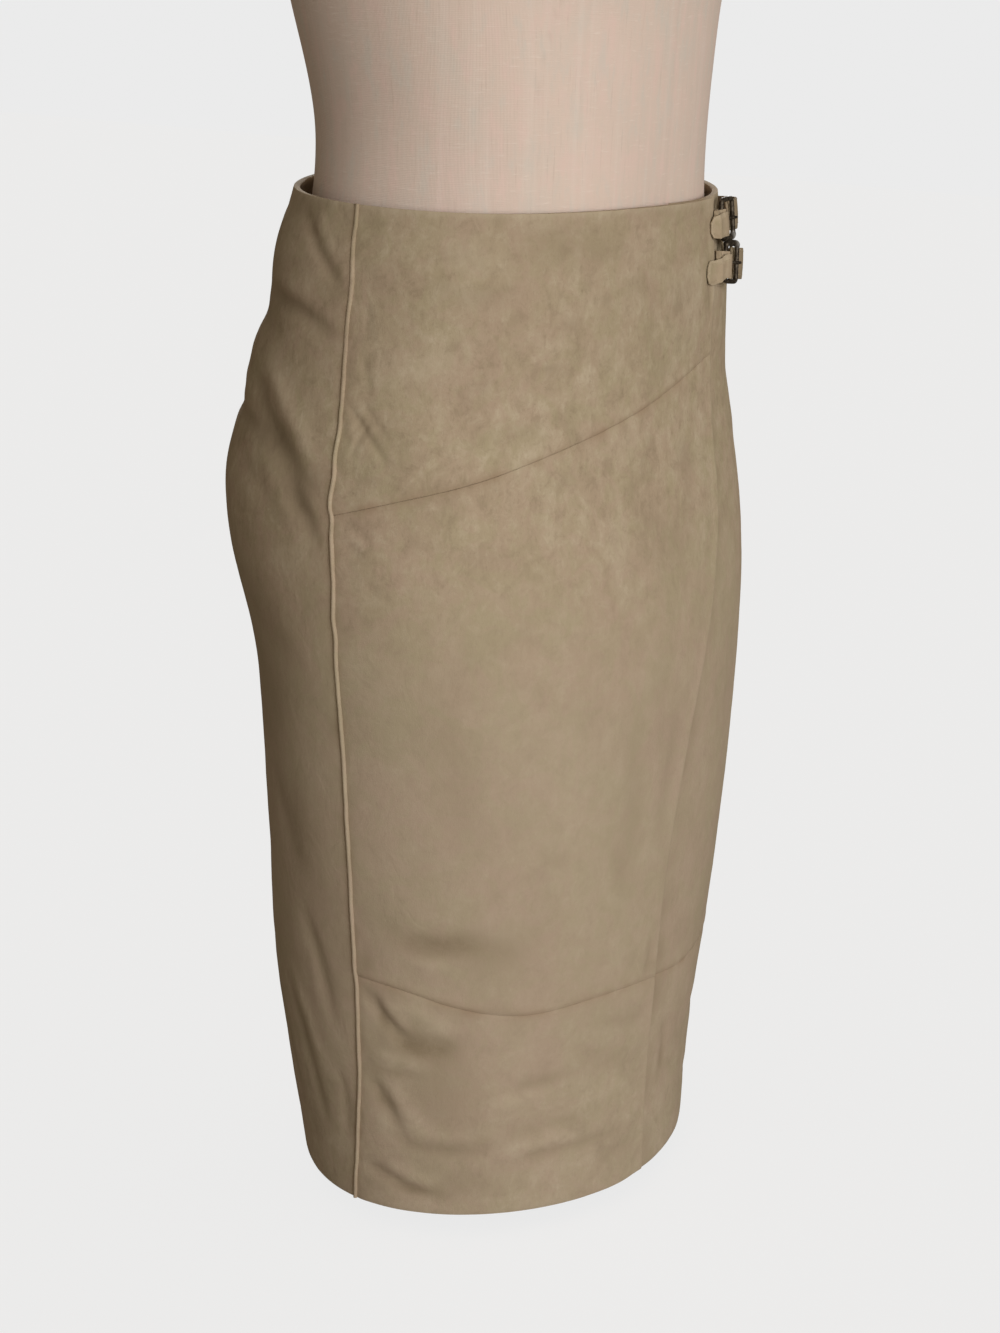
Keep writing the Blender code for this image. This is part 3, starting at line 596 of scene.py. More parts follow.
# creases of the cloth
# A crease is its line of (degrees round the body, millimetres above the hem), its half width and its rise
# in millimetres. A trough's rise is negative.
creases = {
    "hip wrinkles by the right seam": [
        ([(-89.6, 466), (-86.4, 456), (-83, 446), (-77.4, 430)], 1.7, -0.95),
        ([(-86.6, 468), (-83.2, 458), (-79, 446)], 1.8, -0.65),
        ([(-87.6, 436), (-86.4, 447), (-83.6, 460)], 1.7, -0.75),
        ([(-88.6, 444), (-87.2, 452), (-85, 461)], 1.7, -0.55),
        ([(-88.3, 458), (-87.4, 447), (-86, 439)], 2.4, 0.60),
        ([(-87.4, 493), (-85.6, 479), (-84.2, 465)], 2.2, -0.45),
        ([(-88, 516), (-86.6, 509), (-86.8, 501)], 2.6, -0.55),
        ([(-88.2, 407), (-84.8, 403), (-82, 396)], 2.4, -0.95),
        ([(-88.2, 402), (-84.8, 398), (-82.4, 392)], 2.2, 0.60),
        ([(-88, 396), (-85.1, 392), (-83, 386)], 2.3, -0.80),
        ([(-87.8, 386), (-84.6, 383)], 2.4, -0.60),
        ([(-83, 376), (-81.4, 373), (-80.6, 367)], 2.4, -0.75),
        ([(-82, 379), (-79.6, 375)], 2.4, 0.50),
    ],
    "slack over the right hem seam": [
        ([(-88.2, 143), (-85.3, 133), (-83, 124), (-79.8, 114), (-75.6, 103)], 4.4, -1.9),
        ([(-84.5, 137), (-80.5, 127), (-76, 118)], 4.2, 0.8),
        ([(-82.5, 116), (-73.6, 110), (-64, 106)], 7, -1.2),
        ([(-83, 133), (-76.6, 130), (-67, 122)], 4.5, 0.8),
        ([(-88.4, 97), (-80.6, 98), (-72, 97)], 5, 1.2),
        ([(-88.2, 88), (-84, 68), (-79, 46)], 5, -1.6),
        ([(-84, 84), (-79, 66), (-73.5, 52)], 5.5, 0.8),
        ([(-91, 27), (-86.6, 23), (-80, 16), (-66, 8)], 3.8, -1.9),
        ([(-86, 31), (-80, 26), (-72, 20)], 4, 0.7),
        ([(-58, 30), (-48.9, 34), (-39.7, 35), (-25, 34), (-10.2, 33)], 4, -1.1),
        ([(-54, 40), (-44, 43), (-30, 42)], 4.5, 0.7),
        ([(-58, 80), (-49.3, 80), (-40.5, 82)], 5.5, -0.8),
        ([(-61, 69), (-51.3, 72), (-39.5, 75)], 4.5, 0.7),
        ([(-64, 60), (-51.1, 52), (-38, 52), (-20.3, 51)], 5.5, -0.7),
        ([(-34, 63), (-24, 66), (-14, 62)], 6, 0.6),
        ([(-34, 96), (-26, 84), (-16, 80)], 6.5, -0.6),
        ([(-86, 50), (-76, 42), (-64, 40), (-50, 44)], 4.5, -1),
        ([(-84, 57), (-72, 51), (-60, 50)], 4.5, 0.7),
        ([(-30, 18), (-20, 22), (-8, 20)], 4.5, -0.7),
        ([(-28, 112), (-18, 104), (-8, 106)], 6, -0.7),
        ([(2, 92), (5, 76), (4, 50)], 4.5, -0.9),
        ([(-78.6, 174), (-69.1, 171), (-58.6, 177)], 8, -1.3),
        ([(-78.5, 163), (-71.9, 160), (-62.6, 162)], 4.8, 0.8),
        ([(-84, 190), (-78, 176), (-72, 158)], 7, -0.6),
        ([(-12, 156), (-11, 140), (-14, 128)], 4, -0.8),
    ],
    "long soft pulls of the right front": [
        ([(-20, 398), (-8, 384), (6, 378)], 8, -0.7),
        ([(-72, 330), (-66, 262), (-64, 214)], 11, -0.6),
        ([(-46, 318), (-42, 246), (-43, 186)], 13, 0.6),
        ([(-24, 304), (-22, 240), (-24, 170)], 10, -0.6),
        ([(-30, 222), (-26, 205), (-27, 188)], 5, -0.5),
        ([(-4, 300), (-9, 240), (-14, 196)], 7, -0.6),
        ([(10, 430), (6, 400), (2, 370)], 8, -0.5),
        ([(14, 520), (4, 505), (-6, 500)], 9, -0.45),
        ([(20.5, 520), (22.6, 508), (23.8, 495)], 2.2, -0.80),
        ([(-62, 548), (-40, 543), (-18, 540)], 9, -0.35),
        ([(-14, 486), (0, 492), (12, 498)], 8, 0.4),
    ],
    "right back, over the hip": [
        ([(-180, 449), (-150, 446), (-122, 446), (-106, 438), (-97, 424)], 5, -1.5),
        ([(-176, 467), (-150, 463), (-126, 463), (-108, 456), (-96, 438)], 5.5, 0.9),
        ([(-168, 497), (-140, 493), (-122, 498), (-106, 490)], 6.5, -1),
        ([(-130, 512), (-114, 510), (-105, 507), (-97, 500), (-92, 494)], 4.6, -1.8),
        ([(-124, 519), (-110, 518), (-99, 513)], 4.6, 0.7),
        ([(-112, 556), (-106, 547), (-101, 536), (-96, 525), (-92.6, 518)], 3.6, -1.3),
        ([(-106, 556), (-100, 545), (-95, 533)], 4, 0.6),
        ([(-121, 476), (-113, 460), (-104.5, 440), (-97.5, 418), (-92.5, 396)], 8, -2.3),
        ([(-114, 480), (-106, 466), (-99, 446), (-94, 426)], 5, 1.3),
        ([(-101, 415), (-95.8, 405), (-91.8, 388)], 4.2, -1.2),
        ([(-99.5, 425), (-95, 416), (-92, 404)], 4, 0.8),
        ([(-122, 430), (-108, 416), (-99, 398)], 6, -0.8),
        ([(-118, 348), (-108, 338), (-99, 324)], 8, -0.7),
        ([(-160, 322), (-126, 322), (-93, 314)], 45, -2.9),
        ([(-170, 410), (-134, 412), (-99, 408)], 17, 1.4),
        ([(-175, 542), (-135, 542), (-96, 540)], 20, 1.1),
    ],
    "right back, down to the hem": [
        ([(-117, 134), (-109.8, 100), (-105, 60), (-101.4, 36)], 5, -1.5),
        ([(-112, 140), (-105, 104), (-100, 66)], 5, 1),
        ([(-103, 184), (-98.9, 149), (-95.4, 100)], 4.6, -1.3),
        ([(-97, 92), (-95, 60), (-94.5, 30)], 4, -0.8),
        ([(-128, 118), (-121, 76), (-114, 38)], 6, -1),
        ([(-112, 262), (-106, 230), (-101, 196)], 7, -0.8),
        ([(-142, 170), (-133, 120), (-128, 70)], 8, 0.8),
    ],
    "left back": [
        ([(180, 455), (151, 451), (123, 449), (108, 436), (97, 418)], 5.5, -1.4),
        ([(176, 474), (151, 469), (127, 466), (108, 456), (97, 437)], 5.5, 0.9),
        ([(168, 498), (141, 495), (119, 500), (105, 489)], 6.5, -1),
        ([(129, 529), (114, 517), (102, 500)], 5, -1.1),
        ([(116, 553), (104, 536), (97, 521)], 4.6, -0.8),
        ([(121, 400), (108, 386), (98, 366)], 6.5, -0.8),
        ([(160, 318), (126, 320), (93, 312)], 45, -2.7),
        ([(172, 542), (136, 540), (96, 541)], 20, 1),
        ([(120, 142), (112, 104), (105, 56)], 5.5, -1.3),
        ([(115, 148), (107, 108), (101, 62)], 5.5, 0.9),
        ([(104, 196), (100, 158), (96, 112)], 4.8, -1),
        ([(134, 122), (126, 76), (120, 32)], 6.5, -0.9),
        ([(114, 268), (107, 236), (101, 204)], 7, -0.7),
        ([(150, 206), (140, 160), (136, 110)], 9, 0.7),
    ],
    "left front": [
        ([(88, 462), (84.8, 452), (82, 443)], 2.6, -0.55),
        ([(88, 410), (85, 402), (82.2, 393)], 2.6, -0.55),
        ([(88, 398), (84.5, 391)], 2.6, 0.40),
        ([(88, 140), (84.5, 128), (78, 112)], 4.8, -1.4),
        ([(87.5, 100), (79, 96), (70, 93)], 5.5, 0.9),
        ([(87, 84), (82, 62), (77, 44)], 5.2, -1.2),
        ([(88, 24), (79, 18), (68, 14)], 4.4, -1),
        ([(62, 36), (46, 30), (28, 32)], 5, -0.9),
        ([(58, 78), (44, 72), (26, 76)], 6, -0.7),
        ([(74, 172), (66, 168), (58, 173)], 5.5, -0.8),
        ([(70, 330), (64, 264), (62, 208)], 11, -0.6),
        ([(44, 322), (40, 250), (42, 182)], 12, 0.6),
        ([(36, 470), (52, 452), (70, 446)], 9, -0.7),
        ([(34, 440), (50, 424), (66, 418)], 9, 0.5),
        ([(60, 520), (72, 508), (84, 500)], 8, -0.6),
    ],
}


def creaseRise(turns, heights):
    # Millimetres that all creases together add at each point.
    rise = np.zeros(len(turns))
    for group in creases.values():
        for line, halfWidth, depth in group:
            nearest = np.full(len(turns), 1e9)
            along = np.zeros(len(turns))
            steps = len(line) - 1
            middle = np.mean([a for a, h in line])
            near = (turns - middle + 180) % 360 - 180 + middle
            for k in range(steps):
                (angleA, heightA), (angleB, heightB) = line[k], line[k + 1]
                bx, by = (angleB - angleA) * degreeLength, heightB - heightA
                px, py = (near - angleA) * degreeLength, heights - heightA
                t = np.clip((px * bx + py * by) / (bx * bx + by * by), 0, 1)
                away = np.hypot(px - t * bx, py - t * by)
                closer = away < nearest
                nearest = np.where(closer, away, nearest)
                along = np.where(closer, (k + t) / steps, along)
            # It fades towards both its ends, but a crease at the middle of the back goes on round.
            taper = smoothStep(1.04, 0.62, along)
            if abs(line[0][0]) != 180:
                taper = taper * smoothStep(-0.04, 0.34, along)
            rise += depth * taper * bell(nearest, halfWidth)
    return rise


# Some are the nap's own pale and dark marks; many dark ones are painted shade where folds darken the cloth.
# Marks in the nap: angle, height, half width, half height and amount, which is dark under 0.
napMarksAndShade = [
    (-66, 538, 14, 11, 0.34), (-74, 485, 15, 10, 0.22), (-22, 536, 16, 8, 0.16), (-70, 122, 9, 5, 0.30),
    (-57, 300, 16, 30, 0.16), (-52, 104, 12, 8, 0.16), (-105, 140, 4, 30, 0.30), (-24, 440, 18, 12, 0.18),
    (-63, 521, 15, 6, -0.30), (-71, 526, 7, 6, -0.26), (-86, 524, 6, 4, -0.25), (-46, 543, 34, 11, -0.16),
    (-32, 514, 4, 3, -0.45), (-43, 504, 8, 4, -0.26), (-48, 483, 5, 2, -0.40), (1, 502, 7, 4, -0.38),
    (5, 421, 12, 9, -0.30), (-44, 424, 9, 5, -0.20), (-83, 428, 6, 3, -0.34), (-55, 452, 14, 5, -0.18),
    (-70, 171, 26, 8, -0.34), (-57, 167, 19, 13, -0.28), (-44, 218, 9, 5, -0.24), (-73, 216, 11, 13, -0.08),
    (-76, 106, 18, 8, -0.56), (-83, 121, 4, 9, -0.40), (-86, 158, 4, 8, -0.40), (-82, 90, 18, 3, -0.34),
    (-83, 70, 9, 4, -0.34), (-62, 131, 16, 3, -0.28), (5, 62, 6, 10, -0.34), (-9, 134, 10, 4, -0.30),
    (-8, 194, 5, 17, -0.22), (-14, 300, 9, 26, -0.14), (-40, 84, 18, 4, -0.20), (-60, 48, 24, 4, -0.20),
    (-93, 556, 7, 4, 0.50), (26, 502, 3, 7, 0.40), (23, 500, 2, 9, -0.45), (-105, 441, 15, 13, -0.42),
    (-96, 416, 9, 15, -0.48), (-107, 507, 24, 4, -0.26), (-97, 442, 4, 14, 0.26), (-124, 400, 22, 30, -0.26),
    (-101, 225, 11, 34, -0.52), (-97, 95, 8, 26, 0.20), (-20, 520, 14, 7, -0.20), (-6, 470, 12, 6, -0.20),
    (62, 534, 15, 10, 0.30), (48, 470, 14, 9, 0.20), (58, 505, 12, 5, -0.28), (40, 440, 10, 6, -0.24),
    (66, 176, 15, 5, -0.40), (50, 120, 12, 6, -0.34), (74, 90, 14, 4, -0.30), (56, 60, 16, 5, -0.24),
    (-70, 76, 19, 30, -0.36), (-54, 80, 9, 30, 0.14), (-78, 15, 18, 3, -0.30), (-95, 205, 7, 52, -0.24),
    (-112, 476, 15, 9, 0.26), (-66, 20, 22, 9, -0.24), (140, 520, 16, 9, 0.26), (-150, 524, 14, 9, 0.26),
    (180, 380, 22, 14, 0.20), (160, 300, 14, 24, -0.16),
    (-158, 250, 16, 22, -0.16), (128, 480, 12, 5, -0.28), (-170, 160, 18, 6, -0.24), (170, 90, 16, 5, -0.26),
]


def napShade(turns, heights):
    # Sums the nap's own marks and the painted shade of folds.
    shade = np.zeros(len(turns))
    for angle, height, wide, high, amount in napMarksAndShade:
        around = ((turns - angle + 180) % 360 - 180) * degreeLength
        shade += amount * bell(around, wide) * bell(heights - height, high)
    return shade


# Where the right side seam strays from its even line: height in mm, degrees towards the front.
seamDrift = [
    (0, 0.5), (60, 0.6), (140, 0.6), (250, 0.6), (352, 0.7), (372, 0.95), (391, 1.1), (397, 0.8), (414, 0.5),
    (425, 0.25), (434, 1.1), (456, 1.0), (496, 0.8), (514, 1.0), (522, 1.5), (540, 0.5), (560, -0.5),
]


def drifted(points):
    # Moves the cloth beside the right side seam with it.
    turns, heights = polar(points)
    drift = np.interp(heights, *zip(*seamDrift)) * bell(turns + 90, 11)
    around = np.radians(turns + drift)
    radius = np.hypot(points[:, 0], points[:, 1])
    return np.column_stack((radius * np.sin(around), -radius * np.cos(around), points[:, 2]))


def unrest(points, scale):
    return np.array([noise.noise(Vector(p) * scale) for p in points])


def slackRise(points):
    # Cloth is never quite even: broad lifts, and a finer unrest over them.
    return 0.42 * unrest(points, 21) + 0.16 * unrest(points, 62) + 0.06 * unrest(points, 170)


# skirt panels
panels = {
    "wall": 0.0016,
    "edgeRound": 0.00022,
    "facing": 0.0018,          # how much thicker the waist edge is
    "facingFlat": 1.5,         # mm from the edge at which it begins to thin
    "facingFade": 3.0,
    "seamClose": 0.00019,      # closes the gap that two pieces keep
    # Relief beside each kind of edge, and its worn nap: (amount, distance, half width), in mm.
    "relief": {
        "seam": [(-0.34, 0.0, 3.0)],                            # the thread pulls the cloth in
        "turnedSeam": [(-0.34, 0.0, 3.0), (0.42, 2.0, 2.2)],    # the upper piece is turned under
        "hem": [(-0.22, 25.0, 1.8), (-0.35, 0.0, 1.8)],
        "waist": [(0.55, 0.0, 4.5), (-0.30, 11.0, 2.4)],
        "wrap": [(0.36, 2.4, 2.6), (-0.14, 9.5, 2.4)],
    },
    # Edges painted paler, partly as wear and partly as painted highlight where a rolled edge catches the
    # light.
    "wearAndHighlight": {"hem": [(0.35, 0.0, 1.4)], "waist": [(0.60, 0.0, 2.6)], "wrap": [(0.32, 1.2, 1.8)]},
    # Seams are darkened along their line; the same paint also lays painted shadow beside the wrap and along
    # the welts.
    "darkSeamsAndShadow": [(0.72, 0.0, 2.3), (0.20, 0.0, 7.0)],
    "wrapShadowLine": [(0.50, 0.0, 1.8)],        # painted shadow, a thin line on the layer under the wrap's edge
    # painted shadow over a wider band of the layer under the wrap's edge
    "wrapShadowBand": [(0.46, 0.0, 15.0)],
    "pucker": [(0.30, 0.0, 9.0)],           # along a seam
    "cornerLift": [(1.8, 0.0, 16.0)],       # at the hem where the wrap ends
    # Spans over which each effect grows from nothing to full, in millimetres.
    "spans": {"wrapFirm": (120, 330), "corner": (40, 0), "shade": (465, 425), "pastWrap": (-2, 1)},
    "creaseShade": 0.30,         # painted shade in a crease's trough and painted light on its ridge, for each mm of rise
    "creaseShadeLimits": (-0.34, 0.24),
    "calmBack": (0.165, 0.395),    # heights between which the back has only broad creases
    "nearSeam": 40,            # degrees from a side seam
    "pieces": [
        # node, name, smoothing levels, whether creased parts are split finer, edges that are seams
        ("back_panel", "backPanel", 2, True, ("start", "end")),
        ("right_front_yoke", "rightFrontYoke", 3, True, ("bottom", "start")),
        ("right_front_panel", "rightFrontPanel", 3, False, ("bottom", "top", "start")),
        ("right_front_hem_panel", "rightFrontHemPanel", 3, False, ("top", "start")),
        ("left_front_panel", "leftFrontPanel", 3, False, ("bottom", "end")),
        ("left_front_hem_panel", "leftFrontHemPanel", 3, False, ("top", "end")),
    ],
}


def splitFiner(piece):
    # Halves the height of each creased row, and the width of each column near a side seam.
    calmLow, calmHigh = panels["calmBack"]

    def wanted(edge):
        a, b = (piece.data.vertices[v].co for v in edge.vertices)
        middle = (a + b) / 2
        if abs(a.z - b.z) > (a.xy - b.xy).length:
            return not calmLow < middle.z - hemLevel < calmHigh
        return abs(abs(degrees(atan2(middle.x, -middle.y))) - 90) < panels["nearSeam"]

    editOnly(piece, "EDGE", piece.data.edges, wanted)
    bpy.ops.mesh.subdivide(number_cuts=1, quadcorner="INNERVERT")
    bpy.ops.object.mode_set(mode="OBJECT")


def edgeKind(node, edge, seams):
    if edge in seams:
        return "turnedSeam" if edge == "bottom" else "seam"
    if edge in ("top", "bottom"):
        return "waist" if edge == "top" else "hem"
    return "wrap" if node.startswith("right") else "underlap"


def grown(table, name, places):
    return smoothStep(*table["spans"][name], places)


def bands(rows, away):
    # Each row is an amount, the distance where it is greatest and its half width.
    return sum(amount * bell(away - place, width) for amount, place, width in rows)


wrapEdge = []             # (height, angle) along the wrap's free edge


def shapeShell(piece, node, seams):
    # Creases the shell, works its edges, and paints nap marks, dark seams, wear, painted light and shade.
    edges, inside = sheetEdges(piece)
    points = getPoints(piece)
    turns, heights = polar(points)
    folds = creaseRise(turns, heights)
    # Painted shade darkens each crease's trough and painted light brightens its ridge, over the marks in the
    # nap.
    napAndShade = napShade(turns, heights) + np.clip(folds * panels["creaseShade"], *panels["creaseShadeLimits"])
    rise = folds + slackRise(points)
    seamsAndShadow = np.zeros(len(points))
    wearAndHighlight = np.zeros(len(points))
    lift = np.zeros(len(points))
    for edge, chain in edges.items():
        kind = edgeKind(node, edge, seams)
        away = distanceTo(points, chain)
        relief = bands(panels["relief"].get(kind, []), away)
        worn = bands(panels["wearAndHighlight"].get(kind, []), away)
        if edge in seams:
            pucker = unrest(points, 105)
            relief += pucker * bands(panels["pucker"], away)
            seamsAndShadow += (0.55 + 0.9 * pucker) * bands(panels["darkSeamsAndShadow"], away)
        elif kind == "wrap":
            # Folded under, so a low ridge runs along it, flatter towards the hem.
            wrapEdge.extend(zip(heights[chain], turns[chain]))
            firm = 0.45 + 0.55 * grown(panels, "wrapFirm", heights)
            relief *= firm
            worn *= firm
            lift += bands(panels["cornerLift"], away) * grown(panels, "corner", heights)
        rise += relief
        wearAndHighlight += worn
    if node.startswith("left"):
        # Painted shadow: the layer below is darkened beside the wrap's edge, where the wrap shades it.
        edgeTurns = np.interp(heights, *zip(*sorted(wrapEdge)))
        away = (turns - edgeTurns) * degreeLength
        patchy = (0.6 + unrest(points, 60)) * grown(panels, "shade", heights)
        seamsAndShadow += patchy * bands(panels["wrapShadowLine"], away)
        napAndShade -= patchy * bands(panels["wrapShadowBand"], away) * grown(panels, "pastWrap", away)
    # The wrap stays clear of the layer under it, because both take the same creases.
    shaped = drifted(pushOut(points, rise * millimetre))
    shaped[:, 2] += lift * millimetre
    for edge in seams:
        for number in edges[edge]:
            if number in inside:
                out = shaped[number] - shaped[inside[number]]
                shaped[number] += out / np.linalg.norm(out) * panels["seamClose"]
    setPoints(piece, shaped)
    paint(piece, "napAndShade", napAndShade)
    paint(piece, "darkSeamsAndShadow", np.clip(seamsAndShadow, 0, 1))
    paint(piece, "ridgeWearAndHighlight", np.clip(wearAndHighlight, 0, 1))
    return edges, turns, heights


def cutSize(points, turns, heights):
    # Width round the body and height of the open shell, as it is cut flat.
    if points[:, 1].mean() > 0:
        turns = turns % 360
    wide = radians(turns.max() - turns.min()) * np.hypot(points[:, 0], points[:, 1]).max()
    return round(float(wide), 3), round(float(heights.max() - heights.min()) / 1000, 3)


def faceWaist(piece, waistEdge):
    # The waist edge is turned in and faced, so the inner half of the wall lies deeper there.
    points = getPoints(piece)
    inner = slice(len(points) // 2, None)
    away = np.maximum(distanceTo(points[inner], waistEdge) - panels["facingFlat"], 0)
    points[inner] = pushOut(points[inner], -panels["facing"] * bell(away, panels["facingFade"]))
    setPoints(piece, points)


def makePanel(node, name, levels, split, seams):
    piece = copyNode(node, name)
    outerFace(piece)
    if split:
        smoothed(piece, 1)
        splitFiner(piece)
        smoothed(piece, levels - 1)
    else:
        smoothed(piece, levels)
    edges, turns, heights = shapeShell(piece, node, seams)
    flat = cutSize(getPoints(piece), turns, heights)
    addWall(piece, panels["wall"], even=True)
    if "top" not in seams:
        faceWaist(piece, edges["top"])
    roundRim(piece, panels["edgeRound"], 2, 55)
    finishPiece(piece, suede, "faux_suede", node)
    return piece


shells = [makePanel(*row) for row in panels["pieces"]]
print("panels ready")


# raised side seams
welts = {
    "rows": 300,
    "across": 12,
    "width": 0.0028,
    "stand": 0.00125,
    "wall": 0.0010,
    "sink": 0.00005,           # how far its edges lie in the cloth
    "edgeTurn": 0.62,          # degrees from its middle to where the cloth beside it is felt
    "sideRadius": 0.165,       # about how far the sides are from the axis
    "uneven": {"stand": (0.30, 0.045), "width": (0.12, 0.06)},     # share, and changes to a millimetre
    "flatter": 0.35,           # how much lower it stands at the waist
    "spans": {"flatter": (440, 490), "lessWorn": (420, 500), "worn": (-60, 170)},
    # Small kinks: height in mm, how far to the side in degrees, half length in mm.
    "kinks": [
        (516, 0.10, 7), (486, -0.08, 8), (452, 0.10, 6), (439, -0.16, 5), (428, 0.20, 5), (416, -0.18, 5),
        (406, 0.22, 5), (394, -0.06, 5), (372, 0.08, 8), (355, -0.15, 5), (343, 0.16, 5), (322, -0.05, 8),
        (292, 0.06, 9), (243, -0.06, 9), (204, 0.05, 8), (151, -0.15, 6), (140, 0.16, 6), (112, -0.08, 7),
        (86, 0.10, 6), (58, -0.08, 7), (30, 0.10, 6),
    ],
}


def castTree(pieces):
    bm = bmesh.new()
    for piece in pieces:
        bm.from_mesh(piece.data)
    tree = BVHTree.FromBMesh(bm)
    bm.free()
    return tree


def clothReach(tree, turn, level):
    # Distance from the axis to the outermost cloth at this angle and height.
    out = Vector((sin(radians(turn)), -cos(radians(turn)), 0))
    start = out * 0.4 + Vector((0, 0, level))
    hit = tree.ray_cast(start, -out, 0.4)[0]
    return hit.xy.length if hit else None


def gridPiece(name, across, along, place):
    # A grid laid out by place(u, v), each from 0 to 1.
    deselect()
    bpy.ops.mesh.primitive_grid_add(x_subdivisions=across, y_subdivisions=along, size=1, location=(0, 0, 0))
    piece = bpy.context.object
    piece.name = name
    for vertex in piece.data.vertices:
        vertex.co = place(vertex.co.x + 0.5, vertex.co.y + 0.5)
    return piece


def makeWelt(node, name, side, tree):
    guide = copyNode(node, "guide")
    turns, heights = polar(drifted(getPoints(guide)))
    order = np.argsort(heights)
    lineTurns = turns[order].reshape(-1, 6).mean(axis=1)
    lineHeights = heights[order].reshape(-1, 6).mean(axis=1)
    low, high = heights.min(), heights.max() - 0.2
    bpy.data.objects.remove(guide)
    kinks = np.array(welts["kinks"], dtype=float)
    if side < 0:
        # The other side has its kinks at other heights.
        number = np.arange(len(kinks))
        kinks[:, 0] += 9 * (number % 3) - 17
        kinks[:, 1] *= -(0.6 + 0.2 * (number % 4))

    def middle(height):
        turn = float(np.interp(height, lineHeights, lineTurns))
        return turn + float(np.sum(kinks[:, 1] * bell(height - kinks[:, 0], kinks[:, 2])))

    def rim(height, edge):
        # Past the ends of a panel the cast misses, so it is taken a little further in.
        inward = 1 if height < 280 else -1
        turn = middle(height) + edge * welts["edgeTurn"]
        casts = (clothReach(tree, turn, hemLevel + (height + inward * k) * millimetre) for k in range(6))
        return next(near for near in casts if near)

    def place(u, v):
        height = low + v * (high - low)
        level = hemLevel + height * millimetre
        turn = middle(height)
        base = rim(height, -1) * (1 - u) + rim(height, 1) * u
        share, scale = welts["uneven"]["stand"]
        crown = welts["stand"] * (1 + share * noise.noise(Vector((side * 3, 0, height * scale))))
        crown *= 1 - welts["flatter"] * float(np.interp(height, welts["spans"]["flatter"], (0, 1)))
        crown *= 1 - abs(2 * u - 1) ** 2.3
        share, scale = welts["uneven"]["width"]
        width = welts["width"] * (1 + share * noise.noise(Vector((side * 7, 4, height * scale))))
        turn += degrees((u - 0.5) * width / base)
        out = base + crown - welts["sink"]
        return Vector((out * sin(radians(turn)), -out * cos(radians(turn)), level))

    piece = gridPiece(name, welts["across"], welts["rows"], place)
    if piece.data.polygons[0].normal.x * side > 0:
        piece.data.flip_normals()
    points = getPoints(piece)
    turns, heights = polar(points)
    halfAngle = degrees(welts["width"] / 2 / welts["sideRadius"])
    aside = np.abs(turns - np.array([middle(h) for h in heights])) / halfAngle
    # Its crown is painted paler, as wear and as painted highlight, least at the waist and the hem.
    worn = (0.48 - 0.24 * grown(welts, "lessWorn", heights)) * grown(welts, "worn", heights)
    paint(piece, "ridgeWearAndHighlight", np.clip(1.15 - aside ** 2 * 1.6, 0, 1) * worn)
    # Painted shade darkens its edges, where it meets the cloth.
    paint(piece, "darkSeamsAndShadow", np.clip((aside - 0.70) * 1.8, 0, 1) * 0.6)
    addWall(piece, welts["wall"])
    finishPiece(piece, suede, "faux_suede", node)


shellTree = castTree(shells)
makeWelt("right_side_welt", "rightSideWelt", 1, shellTree)
makeWelt("left_side_welt", "leftSideWelt", -1, shellTree)
print("side welts ready")


# straps, tabs and buckles
# Places on a closure are in metres from the middle of its frame: ahead, to the strap's free end, and up.
closures = {
    "names": ("upper", "lower"),
    "voxel": 0.00032,
    "rounding": 4,
    "strapLow": -0.0089,       # lower edge of the strap
    "strapSewnTop": 0.0085,    # its upper edge where it is sewn
    "strapFreeTop": 0.0043,    # and at its free end
    "tabRows": (-0.0065, 0.0041),      # levels between which the tab is stitched
    "tabEnds": (-0.0018, -0.0062),     # from its sewn end
    "sag": {"upper": 0.0008, "lower": 0.0040},     # how far the free end hangs
    "bow": 0.0026,             # how far the strap's edges curl back where it stands off the cloth
    "bowPlace": -0.0190,
    "bowLength": 0.0085,
    "tipPress": 0.00060,       # how far the free end is pressed onto what is under it
    "spread": 0.0008,          # how much wider the strap is where it fills the frame
    "edgeThinning": 0.0006,
    "bendShade": -0.8,
    "bendSteps": 0.001,
    # Spans over which each effect grows from nothing to full, along the strap where no comment says more.
    "spans": {
        "bend": (-0.0125, -0.0165),
        "pressed": (-0.0040, 0.0030),
        "intoFrame": (-0.0120, -0.0080),
        "outOfFrame": (0.0060, -0.0010),
        "sag": (0.0060, 0.0200),
        "free": (0.0020, 0.0080),
        "shadedBend": (-0.0100, -0.0160),
        "edge": (0.70, 1.0),           # share of the way to the edge
        "tip": (0.0034, 0.0004),       # from the tip
        "bar": (0.0095, -0.0095),
        "corner": (0.0080, 0.0100),    # across
        "glintAcross": (0.0072, 0.0112),
        "glintAlong": (-0.001, -0.006),
    },
    "barLift": 0.0010,         # how far the pull of the strap lifts the near bar
    "wireGrowth": {"frame": 0.00034, "prong": 0.00008},
    "cornerGrowth": 0.0005,
    "prongEnd": -0.0070,       # where the prong's tip stops, on the near bar
    "prongTaken": 0.85,        # how much of what is past it is taken off
    # The rows on the sewn part stop here, lower and upper, and those on the free part begin here.
    "sewnRowsStop": (0.0070, -0.0090),
    "freeRowsStart": (0.0115, 0.0060),
    "freeRowsStop": 0.0040,            # from the tip
    "secondRow": 0.0090,               # across the strap, from its sewn end
    "tipRowGap": 0.0012,
    "stitchInset": 0.0021,
    "stitchPitch": 0.0029,
    "stitchSize": (0.0019, 0.00046, 0.00032),
    "stitchRise": 0.00004,
    "stitchJump": 0.004,       # a stitch whose ends lie further apart has met an edge, and is left out
}


